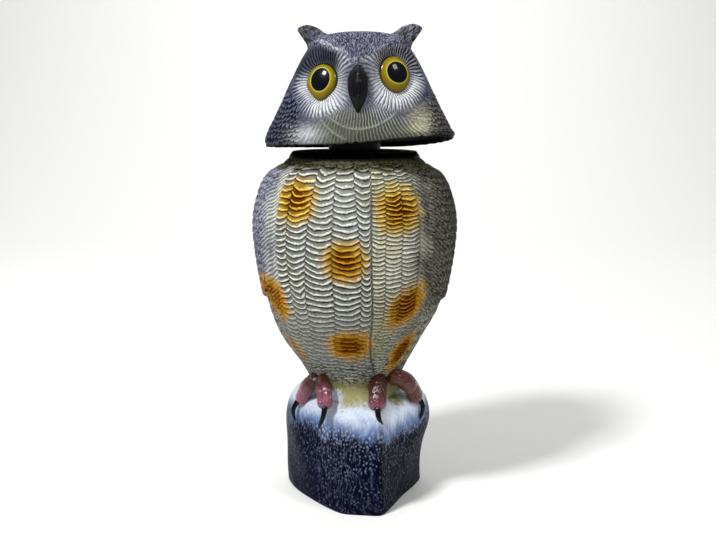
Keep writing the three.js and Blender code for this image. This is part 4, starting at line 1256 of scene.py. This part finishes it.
def painted_body():
    """Paint of the body: brushed feather rows and barbs, mould seam and a flecked stump."""
    material, node, place = new_material("painted_polyethylene_body")
    zones = node("Attribute", attribute_name="zones")["Vector"]
    scallop_zone, barb_zone, speckle_zone = node("SeparateXYZ", Vector=zones)
    fields = [node("Attribute", attribute_name=n)["Fac"] for n in ("ridge", "fleck", "seam", "barb", "band")]
    ridge, fleck_zone, seam, barb_at, band = fields
    # Tremble of the hand-cut lines, about 5 mm long, with notches of about 1.5 mm.
    wander = node("TexNoise", Vector=place, Scale=200, Detail=1)["Fac"]
    notch = node("TexNoise", Vector=place, Scale=700, Detail=1)["Fac"]
    tremble = node("Math", wander, 0.44, -0.34, operation="MULTIPLY_ADD")[0]
    tremble = node("Math", notch, 0.24, tremble, operation="MULTIPLY_ADD")[0]
    above, below, across = feather_rows(node, tremble)
    brushed = node("ValToRGB", Fac=above, stops=[(0, 0.5), (0.04, 1), (0.25, 1), (0.4, 0)])[0]
    lips = node("Math", brushed, scallop_zone, operation="MULTIPLY")[0]
    # Barbs between the breast and the wing.
    part = node("Math", barb_at, tremble, operation="ADD")[0]
    part = node("Math", part, operation="FRACT")[0]
    profile = [(0, 0), (0.3, 0.05), (0.55, 1), (0.75, 0.9), (1, 0)]
    barb = node("ValToRGB", Fac=part, stops=profile)[0]
    barbs = node("Math", barb, barb_zone, operation="MULTIPLY")[0]

    # Flecks of the stump, about 2.5 mm apart, with fine slanting streaks between them. They crowd together
    # in the band below the white.
    bent = node("TexNoise", Vector=place, Scale=45, Detail=1)["Color"]
    bent = node("VectorMath", inputs={0: bent, 3: 0.012}, operation="SCALE")[0]
    warped = node("VectorMath", place, bent, operation="ADD")[0]
    stretched = node("Mapping", Vector=warped, Scale=(390, 390, 310))[0]
    cells = node("TexVoronoi", Vector=stretched, Scale=1, Randomness=0.85)
    chance = node("SeparateColor", Color=cells["Color"])[0]
    chance = node("Math", band, 0.7, chance, operation="MULTIPLY_ADD")[0]
    off_middle = node("Math", band, -0.06, cells["Distance"], operation="MULTIPLY_ADD")[0]
    spot = node("ValToRGB", Fac=off_middle, stops=[(0.18, 1), (0.46, 0)])[0]
    strength = node("ValToRGB", Fac=chance, stops=[(0, 0.3), (0.6, 0.95)])[0]
    fleck = node("Math", spot, strength, operation="MULTIPLY")[0]
    streak = drawn_out(node, warped, (620, 620, 75), (0, 0.3, 0))
    streak = node("ValToRGB", Fac=streak, stops=[(0.55, 0), (0.66, 0.34)])[0]
    fleck = node("Math", fleck, streak, operation="MAXIMUM")[0]
    fleck = node("Math", fleck, fleck_zone, operation="MULTIPLY")[0]
    lines = lips
    for other in (barbs, ridge, fleck):
        lines = node("Math", lines, other, operation="MAXIMUM")[0]

    # Each feather darkens up to the shadow under the lip above it, and fine strokes run down it.
    strokes = drawn_out(node, place, (950, 950, 150))
    profile = [(0, 0.04), (0.1, 0.1), (0.26, 0.62), (0.8, 1.12)]
    lip_shadow = node("ValToRGB", Fac=below, stops=profile)[0]
    lip_shadow = node("Mix", inputs={0: scallop_zone, 2: 1.0, 3: lip_shadow})[0]
    dash = drawn_out(node, place, (330, 330, 800))
    dash = node("ValToRGB", Fac=dash, stops=[(0.53, 0), (0.6, 1)])[0]
    pepper = node("Math", dash, speckle_zone, operation="MULTIPLY")[0]
    pepper = node("Math", pepper, -0.82, 1.0, operation="MULTIPLY_ADD")[0]
    # Painted shade in the valleys where the feather columns meet.
    valley = node("ValToRGB", Fac=across, stops=[(0.4, 1), (0.5, 0.6)])[0]
    valley = node("Mix", inputs={0: scallop_zone, 2: 1.0, 3: valley})[0]
    line = node("ValToRGB", Fac=seam, stops=[(0, 0.62), (0.3, 0.75), (0.7, 1)])[0]
    stroked = node("ValToRGB", Fac=strokes, stops=[(0.33, 0.26), (0.66, 0)])[0]
    shade = node("Math", fleck_zone, 1.0, operation="SUBTRACT")[0]
    shade = node("Math", shade, stroked, operation="MULTIPLY")[0]
    shade = node("Math", shade, 1.0, operation="ADD")[0]
    for factor in (lip_shadow, pepper, valley, line):
        shade = node("Math", shade, factor, operation="MULTIPLY")[0]
    raised = node("ValToRGB", Fac=below, stops=[(0, 0), (0.35, 0.35), (0.8, 1)])[0]
    fallen = node("ValToRGB", Fac=above, stops=[(0, 0), (0.12, 1)])[0]
    height = node("Math", raised, fallen, operation="MULTIPLY")[0]
    height = node("Math", height, scallop_zone, operation="MULTIPLY")[0]
    for part, rise in ((barbs, 0.45), (strokes, 0.18), (fleck, 0.4), (line, 0.3)):
        height = node("Math", part, rise, height, operation="MULTIPLY_ADD")[0]
    sprayed_polyethylene(node, place, lines, shade, height, 0.015)
    return material


def painted_head(head):
    """Paint of the head: rays round both eyes, grooves of the chin, strokes of the crown and scales."""
    material, node, place = new_material("painted_polyethylene_head")
    zones = node("Attribute", attribute_name="zones")["Vector"]
    scallop_zone, ray_zone, groove_zone = node("SeparateXYZ", Vector=zones)
    fields = [node("Attribute", attribute_name=n)["Fac"] for n in ("fleck", "ridge", "bias", "barb")]
    stroke_zone, ridge, bias, groove_at = fields
    wander = node("TexNoise", Vector=place, Scale=110, Detail=2)["Fac"]
    tremble = node("Math", wander, 0.5, -0.25, operation="MULTIPLY_ADD")[0]
    above, below, _ = feather_rows(node, tremble)
    profile = [(0, 0.5), (0.08, 1), (0.26, 0.9), (0.48, 0)]
    scales = node("ValToRGB", Fac=above, stops=profile)[0]
    scales = node("Math", scales, scallop_zone, operation="MULTIPLY")[0]

    # Rays about the nearer eye, and twice as many farther out.
    angles, fars = [], []
    for index in range(len(EYES)):
        seat = head.eye_frame(index)
        size = (head.eye_width / 2 * MM, 1.0, head.eye_height / 2 * MM)
        frame_of_eye = {"Location": seat.translation * MM, "Rotation": seat.to_euler(), "Scale": size}
        local = node("Mapping", place, inputs=frame_of_eye, vector_type="TEXTURE")[0]
        u, _, v = node("SeparateXYZ", Vector=local)
        angles.append(node("Math", v, u, operation="ARCTAN2")[0])
        reach = node("Math", u, u, operation="MULTIPLY")[0]
        reach = node("Math", v, v, reach, operation="MULTIPLY_ADD")[0]
        fars.append(node("Math", reach, operation="SQRT")[0])
    second = node("Math", fars[1], fars[0], operation="LESS_THAN")[0]
    angle = node("Mix", inputs={0: second, 2: angles[0], 3: angles[1]})[0]
    far = node("Math", fars[0], fars[1], operation="MINIMUM")[0]
    waves = []
    for count, sway in ((RAYS, 7.0), (2 * RAYS, 9.0)):
        turned = node("Math", angle, count, operation="MULTIPLY")[0]
        turned = node("Math", wander, sway, turned, operation="MULTIPLY_ADD")[0]
        waves.append(node("Math", turned, operation="COSINE")[0])
    out = node("Math", far, 0.25, operation="MULTIPLY")[0]
    out = node("ValToRGB", Fac=out, stops=[(0.5, 0), (0.56, 1)])[0]
    rays = node("Mix", inputs={0: out, 2: waves[0], 3: waves[1]})[0]
    grooves = node("Math", wander, 0.9, groove_at, operation="MULTIPLY_ADD")[0]
    grooves = node("Math", grooves, 2 * math.pi, operation="MULTIPLY")[0]
    grooves = node("Math", grooves, operation="COSINE")[0]

    # Short strokes that fan out from the middle of the beak, about 1 mm wide and 5 mm long.
    fan_foot = Vector(head.to_world(np.array([head.beak_x, 0, 0.45 * head.height]))) * MM
    local = node("VectorMath", place, fan_foot, operation="SUBTRACT")[0]
    x, y, z = node("SeparateXYZ", Vector=local)
    fan = node("Math", x, z, operation="ARCTAN2")[0]
    fan = node("Math", fan, 80.0, operation="MULTIPLY")[0]
    reach = node("Math", x, x, operation="MULTIPLY")[0]
    reach = node("Math", z, z, reach, operation="MULTIPLY_ADD")[0]
    reach = node("Math", reach, operation="SQRT")[0]
    reach = node("Math", reach, 210.0, operation="MULTIPLY")[0]
    behind = node("Math", y, 330.0, operation="MULTIPLY")[0]
    fanned = node("CombineXYZ", fan, reach, behind)[0]
    hairs = node("TexNoise", Vector=fanned, Scale=1, Detail=1)["Fac"]
    hairs = node("ValToRGB", Fac=hairs, stops=[(0.47, 0), (0.57, 1)])[0]
    hairs = node("Math", hairs, stroke_zone, operation="MULTIPLY")[0]

    # Rays and grooves are painted where they stand above a level that the bias sets.
    level = node("Math", bias, -2.0, 1.0, operation="MULTIPLY_ADD")[0]
    brushed = []
    for wave, sharpness, zone in ((rays, 1.6, ray_zone), (grooves, 1.2, groove_zone)):
        line = node("Math", wave, level, operation="SUBTRACT")[0]
        line = node("Math", line, sharpness, 0.5, operation="MULTIPLY_ADD")[0]
        brushed.append(node("Math", line, zone, operation="MULTIPLY")[0])
    lines = brushed[0]
    for other in (brushed[1], hairs, scales, ridge):
        lines = node("Math", lines, other, operation="MAXIMUM")[0]
    lines = node("Math", lines, 1.0, operation="MINIMUM")[0]
    # Painted shade: each scale darkens up to the shadow under the lip above it.
    profile = [(0, 0.15), (0.12, 0.3), (0.35, 0.85), (0.8, 1.1)]
    lip_shadow = node("ValToRGB", Fac=below, stops=profile)[0]
    lip_shadow = node("Mix", inputs={0: scallop_zone, 2: 1.0, 3: lip_shadow})[0]
    dark = node("Math", rays, 0.5, 0.5, operation="MULTIPLY_ADD")[0]
    dark = node("ValToRGB", Fac=dark, stops=[(0, 0.55), (0.35, 1)])[0]
    dark = node("Mix", inputs={0: ray_zone, 2: 1.0, 3: dark})[0]
    grit = node("TexNoise", Vector=place, Scale=520, Detail=2)["Fac"]
    grit = node("ValToRGB", Fac=grit, stops=[(0.35, 0.75), (0.6, 1)])[0]
    shade = node("Math", lip_shadow, dark, operation="MULTIPLY")[0]
    shade = node("Math", shade, grit, operation="MULTIPLY")[0]
    height = node("Math", rays, ray_zone, operation="MULTIPLY")[0]
    height = node("Math", grooves, groove_zone, height, operation="MULTIPLY_ADD")[0]
    height = node("Math", height, 0.4, operation="MULTIPLY")[0]
    for part, rise in ((hairs, 0.5), (scales, 0.7), (ridge, 0.5)):
        height = node("Math", part, rise, height, operation="MULTIPLY_ADD")[0]
    sprayed_polyethylene(node, place, lines, shade, height, 0.05)
    return material


def glossy_lacquer(name, stops, roughness, relief, coat_weight):
    """Thick glossy paint on toes, claws and beak: wet highlights that break up on scutes and brush marks."""
    material, node, place = new_material(name)
    along, around = (node("Attribute", attribute_name=n)["Fac"] for n in ("along", "around"))
    clouds = node("TexNoise", Vector=place, Scale=150, Detail=2)["Fac"]
    moved = node("Math", clouds, 0.16, along, operation="MULTIPLY_ADD")[0]
    moved = node("Math", moved, 0.08, operation="SUBTRACT")[0]
    colour = node("ValToRGB", Fac=moved, stops=stops)[0]
    # Six scutes to the length, 40 brush marks round it, and lumps of 2 mm in the thick paint.
    rings = node("Math", along, 38.0, operation="MULTIPLY")[0]
    rings = node("Math", rings, operation="SINE")[0]
    turned = node("CombineXYZ", along, around, 0.0)[0]
    marks = drawn_out(node, turned, (4, 40, 1))
    height = node("Math", rings, 0.12, marks, operation="MULTIPLY_ADD")[0]
    lumps = node("TexNoise", Vector=place, Scale=480, Detail=1)["Fac"]
    height = node("Math", lumps, 0.7, height, operation="MULTIPLY_ADD")[0]
    normal = node("Bump", Height=height, Distance=relief, Strength=0.9)[0]
    rough = node("Math", clouds, 0.12, roughness, operation="MULTIPLY_ADD")[0]
    surface = {"Base Color": colour, "Roughness": rough, "Normal": normal, "Specular IOR Level": 0.05}
    surface |= {"Coat Weight": coat_weight, "Coat Roughness": 0.06, "Coat Normal": normal}
    finish_material(node, surface)
    return material


def clear_coated_eye(name, colours):
    """Painted iris and pupil under a clear, polished coat, which gives the eye its small sharp highlight."""
    material, node, place = new_material(name)
    rim, pupil, fall = (node("Attribute", attribute_name=n)["Fac"] for n in ("rim", "pupil", "fall"))
    clouds = node("TexNoise", Vector=place, Scale=140, Detail=3)["Fac"]
    moved = node("Math", clouds, 0.08, rim, operation="MULTIPLY_ADD")[0]
    iris, light = colours["iris"], colours["iris_light"]
    stops = [(0.5, iris * 1.15), (0.72, iris), (0.86, iris * 0.66), (0.95, iris * 0.5)]
    stops += [(0.985, colours["iris_rim"])]
    colour = node("ValToRGB", Fac=moved, stops=stops)[0]
    # The iris falls off to a browner tone at its lower edge.
    fall = node("Math", fall, -0.5, 0.5, operation="MULTIPLY_ADD")[0]
    lower = node("ValToRGB", Fac=fall, stops=[(0.35, 0), (1, 0.85)])[0]
    ring = node("ValToRGB", Fac=pupil, stops=[(0.5, 1), (0.52, 0.5), (0.56, 0)])[0]
    dark = node("ValToRGB", Fac=pupil, stops=[(0.485, 1), (0.505, 0)])[0]
    browner = iris * np.array([0.6, 0.5, 0.4])
    for cover, over in ((lower, browner), (ring, light), (dark, colours["pupil"])):
        colour = node("Mix", inputs={0: cover, 6: colour, 7: (*over, 1)}, data_type="RGBA")[2]
    rough = node("Math", clouds, 0.1, 0.18, operation="MULTIPLY_ADD")[0]
    surface = {"Base Color": colour, "Roughness": rough, "Specular IOR Level": 0.05}
    surface |= {"Coat Weight": 0.28, "Coat Roughness": 0.02}
    finish_material(node, surface)
    return material


def black_abs(name, colours):
    """Moulded black ABS of the hub: satin, with faint turning marks."""
    material, node, place = new_material(name)
    clouds = node("TexNoise", Vector=place, Scale=220, Detail=2)["Fac"]
    turning = drawn_out(node, place, (30, 30, 1400))
    black = colours["black"]
    colour = node("ValToRGB", Fac=clouds, stops=[(0.3, black), (0.7, black * 1.6)])[0]
    normal = node("Bump", Height=turning, Distance=0.0002, Strength=0.3)[0]
    rough = node("Math", clouds, 0.15, 0.26, operation="MULTIPLY_ADD")[0]
    surface = {"Base Color": colour, "Roughness": rough, "Normal": normal, "Specular IOR Level": 0.25}
    finish_material(node, surface)
    return material


def give(obj, material):
    """The object's only material."""
    obj.data.materials.clear()
    obj.data.materials.append(material)


def palette(context):
    """Colours of the paint as arrays."""
    settings = context.scene.owl_paint
    return {name: np.array(getattr(settings, name)[:]) for name in OwlPaint.__annotations__}


def settle(piece, body, slot, *nodes):
    """Rides the piece on its body and hides what it replaces. The slot is not used."""
    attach(piece, body)
    if nodes:
        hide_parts(*nodes)


class OWL_OT_body(Operator):
    """Torso, folded wings, tail and stump: one painted moulding with its feather relief."""

    bl_idname = "owl.body"
    bl_label = "Body"

    def execute(self, context):
        places, fields = Body(context.scene.owl_shape, palette(context)).build()
        piece = ringed("body_shell", places, fields)
        give(piece, painted_body())
        settle(piece, "base", "painted_body", "body")
        return {"FINISHED"}


class OWL_OT_head(Operator):
    """Head with its face, scales, ear tufts and dark underside."""

    bl_idname = "owl.head"
    bl_label = "Head"

    def execute(self, context):
        head = Head(context.scene.owl_shape, palette(context))
        places, fields = head.build()
        piece = ringed("head_shell", places, fields)
        give(piece, painted_head(head))
        settle(piece, "head", "painted_head", "head")
        return {"FINISHED"}


class OWL_OT_eyes(Operator):
    """Both domed eye inserts with their barrels."""

    bl_idname = "owl.eyes"
    bl_label = "Eyes"

    def execute(self, context):
        shape = context.scene.owl_shape
        colours = palette(context)
        head = Head(shape, colours)
        for index, eye in enumerate(EYES):
            piece = self.dome(eye, shape)
            matrix = head.eye_frame(index)
            matrix.translation *= MM
            piece.data.transform(matrix)
            select_only(piece)
            bpy.ops.object.shade_smooth_by_angle(angle=math.radians(40))
            give(piece, clear_coated_eye(eye.name + "_clear_coat", colours))
            settle(piece, "head", "eye_gloss", eye.name)
        return {"FINISHED"}

    @staticmethod
    def dome(eye, shape):
        """Half an ellipsoid on a barrel, with the fields that iris and pupil are painted from."""
        bpy.ops.object.select_all(action="DESELECT")
        bpy.ops.mesh.primitive_uv_sphere_add(segments=96, ring_count=64, radius=1)
        piece = bpy.context.object
        piece.name = piece.data.name = eye.name + "_dome"
        half = (shape.eye_width / 2, shape.eye_bulge, shape.eye_height / 2)
        bpy.ops.object.mode_set(mode="EDIT")
        bpy.ops.mesh.select_all(action="SELECT")
        bpy.ops.transform.resize(value=half)
        bpy.ops.mesh.bisect(plane_co=(0, 0, 0), plane_no=(0, 1, 0), clear_inner=True, threshold=1e-7)
        bpy.ops.mesh.extrude_edges_move(TRANSFORM_OT_translate={"value": (0, -0.005, 0)})
        bpy.ops.mesh.edge_face_add()
        bpy.ops.mesh.select_all(action="SELECT")
        bpy.ops.mesh.normals_make_consistent(inside=False)
        bpy.ops.object.mode_set(mode="OBJECT")
        mesh = piece.data
        co = np.empty(len(mesh.vertices) * 3, np.float32)
        mesh.vertices.foreach_get("co", co)
        co = co.reshape(-1, 3)
        # The z axis looks down in the eye's own frame.
        up = -co[:, 2] / half[2]
        rim = np.hypot(co[:, 0] / half[0], up)
        co[:, 0] *= eye.narrowed(-up)
        to_side, to_top = eye.pupil_middle
        wide, tall = eye.pupil_size
        off_side = (co[:, 0] - to_side * MM) / (wide * shape.eye_width)
        off_top = (-co[:, 2] - to_top * MM) / (tall * shape.eye_height)
        mesh.vertices.foreach_set("co", co.ravel())
        for key, values in (("rim", rim), ("fall", up), ("pupil", np.hypot(off_side, off_top))):
            attribute = mesh.attributes.new(key, "FLOAT", "POINT")
            attribute.data.foreach_set("value", values.astype(np.float32))
        return piece


class OWL_OT_beak(Operator):
    """Keeled, hooked beak in glossy black."""

    bl_idname = "owl.beak"
    bl_label = "Beak"

    def execute(self, context):
        colours = palette(context)
        head = Head(context.scene.owl_shape, colours)
        points = []
        for up, ahead in BEAK_LINE:
            front = head.depth / 2 * float(through(HEAD_SECTIONS, 2, up))
            points.append((head.beak_x, -front - ahead, up * head.height))
        points = head.to_world(np.array(points))
        piece = limb("beak", points, self.half, 1.1, 1.22, 48, 64, False)
        tone = colours["beak"]
        stops = [(0, colours["crown_slate"] * 0.9), (0.3, tone), (1, tone * 0.6)]
        give(piece, glossy_lacquer("black_lacquer_beak", stops, 0.26, 0.0006, 0.25))
        settle(piece, "head", "painted_head")
        return {"FINISHED"}

    @staticmethod
    def half(share):
        """Half width of the beak."""
        return through(BEAK_WIDTHS, 1, share)


def toe_points(body, points):
    """World millimetres of a toe's middle line, which starts in the torso and runs over the stump."""
    placed = []
    for index, (azimuth, rise, out) in enumerate(points):
        z = body.stump_height + rise
        at = np.array(float(azimuth))
        under = body.stump(at, min(z, body.stump_height)) if index else body.torso(at, z)
        radius, turn = float(under) + out, math.radians(azimuth)
        placed.append((radius * math.sin(turn), -radius * math.cos(turn), z))
    return placed


class OWL_OT_toes(Operator):
    """Four lacquered toes that grip the edge of the stump."""

    bl_idname = "owl.toes"
    bl_label = "Toes"

    def execute(self, context):
        colours = palette(context)
        body = Body(context.scene.owl_shape, colours)
        pink, maroon = colours["toe_pink"], colours["toe_maroon"]
        for number, (width, start, root, points) in enumerate(TOES, 1):

            def half(share, width=width):
                """Half width of a toe, with its knuckles."""
                return width / 2 * blunt(share, 6) * (1 + 0.05 * np.cos(share * 14))

            piece = limb(f"toe_{number}", toe_points(body, points), half, 0.9, 2.3, 40, 44, True)
            stops = [(0.1, maroon * root), (start - 0.1, maroon * (1 + root) / 2), (start + 0.25, pink)]
            give(piece, glossy_lacquer(f"pink_lacquer_toe_{number}", stops, 0.2, 0.0011, 0.85))
            settle(piece, "base", "painted_body")
        return {"FINISHED"}


class OWL_OT_claws(Operator):
    """Four black claws at the ends of the toes."""

    bl_idname = "owl.claws"
    bl_label = "Claws"

    def execute(self, context):
        colours = palette(context)
        body = Body(context.scene.owl_shape, colours)
        stops = [(0, colours["black"]), (1, colours["black"])]
        material = glossy_lacquer("black_lacquer_claws", stops, 0.2, 0.0003, 0.3)
        for number, (toe, steps) in enumerate(zip(TOES, CLAWS), 1):
            x, y, z = toe_points(body, toe[-1])[-1]
            points = [(x, y, z + 5)] + [(x + right, y - ahead, z + up) for right, ahead, up in steps]
            piece = limb(f"claw_{number}", points, self.half, 1.0, 2, 24, 28, True)
            give(piece, material)
            settle(piece, "base", "painted_body")
        return {"FINISHED"}

    @staticmethod
    def half(share):
        """Half width of a claw, which tapers to half at its point."""
        return CLAW_HALF * blunt(share, 5) * (1 - 0.5 * share)


class OWL_OT_hub(Operator):
    """Black hub with the spigot that the head turns on."""

    bl_idname = "owl.hub"
    bl_label = "Hub"

    def execute(self, context):
        radius, collar, spigot = HUB_HIGH.x, 0.01, 0.011
        middle = (0, 0, HUB_LOW.z + collar / 2)
        bpy.ops.object.select_all(action="DESELECT")
        bpy.ops.mesh.primitive_cylinder_add(vertices=96, radius=radius, depth=collar, location=middle)
        piece = bpy.context.object
        piece.name = piece.data.name = "hub"
        bpy.ops.object.transform_apply(location=True, rotation=True, scale=True)
        bpy.ops.object.mode_set(mode="EDIT")
        bpy.ops.mesh.select_all(action="DESELECT")
        bpy.ops.object.mode_set(mode="OBJECT")
        for face in piece.data.polygons:
            face.select = face.normal.z > 0.9
        bpy.ops.object.mode_set(mode="EDIT")
        bpy.ops.mesh.select_mode(type="FACE")
        bpy.ops.mesh.inset(thickness=radius - spigot)
        rise = HUB_HIGH.z - HUB_LOW.z - collar
        bpy.ops.mesh.extrude_region_move(TRANSFORM_OT_translate={"value": (0, 0, rise)})
        bpy.ops.object.mode_set(mode="OBJECT")
        bevel = piece.modifiers.new("edges", "BEVEL")
        bevel.width = 0.0007
        bevel.segments = 3
        bevel.limit_method = "ANGLE"
        select_only(piece)
        bpy.ops.object.modifier_apply(modifier="edges")
        bpy.ops.object.shade_smooth_by_angle(angle=math.radians(35))
        give(piece, black_abs("black_abs_hub", palette(context)))
        settle(piece, "base", "black_hub", "pivot_hub")
        return {"FINISHED"}


def soft_light(name, place, aim, size, power):
    """Square soft light that faces a point."""
    data = bpy.data.lights.new(name, "AREA")
    data.shape = "SQUARE"
    data.size = size
    data.energy = power
    light = bpy.data.objects.new(name, data)
    light.location = place
    light.rotation_euler = (Vector(aim) - Vector(place)).to_track_quat("-Z", "Y").to_euler()
    bpy.context.scene.collection.objects.link(light)


class OWL_OT_stage(Operator):
    """Camera at the photograph's viewing angle, pale sweep and soft lights."""

    bl_idname = "owl.stage"
    bl_label = "Stage"

    def execute(self, context):
        stage = context.scene.owl_stage
        bpy.ops.object.select_all(action="DESELECT")
        bpy.ops.mesh.primitive_plane_add(size=6, location=(0, 0, 0))
        floor = bpy.context.object
        floor.name = floor.data.name = "pale_sweep"
        # The far edge of the floor rises into a wall.
        for edge in floor.data.edges:
            edge.select = min(floor.data.vertices[v].co.y for v in edge.vertices) > 0
        for vertex in floor.data.vertices:
            vertex.select = vertex.co.y > 0
        for face in floor.data.polygons:
            face.select = False
        bpy.ops.object.mode_set(mode="EDIT")
        bpy.ops.mesh.select_mode(type="EDGE")
        bpy.ops.mesh.extrude_region_move(TRANSFORM_OT_translate={"value": (0, 0, 4)})
        bpy.ops.object.mode_set(mode="OBJECT")
        bend = floor.modifiers.new("bend", "BEVEL")
        bend.width = 1.5
        bend.segments = 24
        bend.limit_method = "ANGLE"
        select_only(floor)
        bpy.ops.object.modifier_apply(modifier="bend")
        bpy.ops.object.shade_smooth()
        # Matt photographer's paper, with fibres that keep it from looking flat.
        material, node, place = new_material("pale_paper")
        fibres = node("TexNoise", Vector=place, Scale=300, Detail=3)["Fac"]
        tone = np.array(stage.floor_tone[:])
        colour = node("ValToRGB", Fac=fibres, stops=[(0.3, tone * 0.985), (0.7, tone)])[0]
        finish_material(node, {"Base Color": colour, "Roughness": 0.9})
        give(floor, material)
        soft_light("key", (-0.86, -0.78, 1.75), (0, 0, 0.2), 0.3, stage.key_power)
        soft_light("fill", (0.86, -0.6, 1.4), (0, 0, 0.2), 0.3, stage.fill_power)
        soft_light("backdrop_light", (0, 1.4, 2.2), (0, 2.6, 0.6), 1.6, stage.backdrop_power)
        world = context.scene.world or bpy.data.worlds.new("studio")
        context.scene.world = world
        world.use_nodes = True
        world.node_tree.nodes.clear()
        light = add(world.node_tree, "Background", Color=(1, 1, 1, 1), Strength=stage.world_light)
        add(world.node_tree, "OutputWorld", Surface=light[0])
        data = bpy.data.cameras.new("photo_view")
        data.lens = stage.lens
        data.sensor_width = 36
        data.clip_start = 0.01
        camera = bpy.data.objects.new("photo_view", data)
        camera.location = (stage.camera_side, -stage.camera_distance, stage.camera_height)
        camera.rotation_euler = (math.pi / 2 - stage.camera_pitch, 0, 0)
        context.scene.collection.objects.link(camera)
        context.scene.camera = camera
        context.scene.view_settings.view_transform = "Standard"
        return {"FINISHED"}


OPERATORS = [
    OWL_OT_body,
    OWL_OT_head,
    OWL_OT_eyes,
    OWL_OT_beak,
    OWL_OT_toes,
    OWL_OT_claws,
    OWL_OT_hub,
    OWL_OT_stage,
]


class OWL_PT_panel(Panel):
    """Lists the owl's pieces, sizes and colours."""

    bl_idname = "OWL_PT_panel"
    bl_label = "Owl Decoy"
    bl_space_type = "VIEW_3D"
    bl_region_type = "UI"
    bl_category = "Owl Decoy"

    def draw(self, context):
        layout = self.layout
        for operator in OPERATORS:
            layout.operator(operator.bl_idname)
        for group in (context.scene.owl_shape, context.scene.owl_paint, context.scene.owl_stage):
            box = layout.box()
            for name in type(group).__annotations__:
                box.prop(group, name)


CLASSES = [OwlShape, OwlPaint, OwlStage, *OPERATORS, OWL_PT_panel]


def register():
    for entry in CLASSES:
        bpy.utils.register_class(entry)
    bpy.types.Scene.owl_shape = PointerProperty(type=OwlShape)
    bpy.types.Scene.owl_paint = PointerProperty(type=OwlPaint)
    bpy.types.Scene.owl_stage = PointerProperty(type=OwlStage)


def unregister():
    for name in ("owl_shape", "owl_paint", "owl_stage"):
        delattr(bpy.types.Scene, name)
    for entry in reversed(CLASSES):
        bpy.utils.unregister_class(entry)


def main():
    """Builds the whole owl."""
    register()
    bpy.ops.owl.stage()
    bpy.ops.owl.body()
    bpy.ops.owl.head()
    bpy.ops.owl.eyes()
    bpy.ops.owl.beak()
    bpy.ops.owl.toes()
    bpy.ops.owl.claws()
    bpy.ops.owl.hub()


if __name__ == "__main__":
    main()
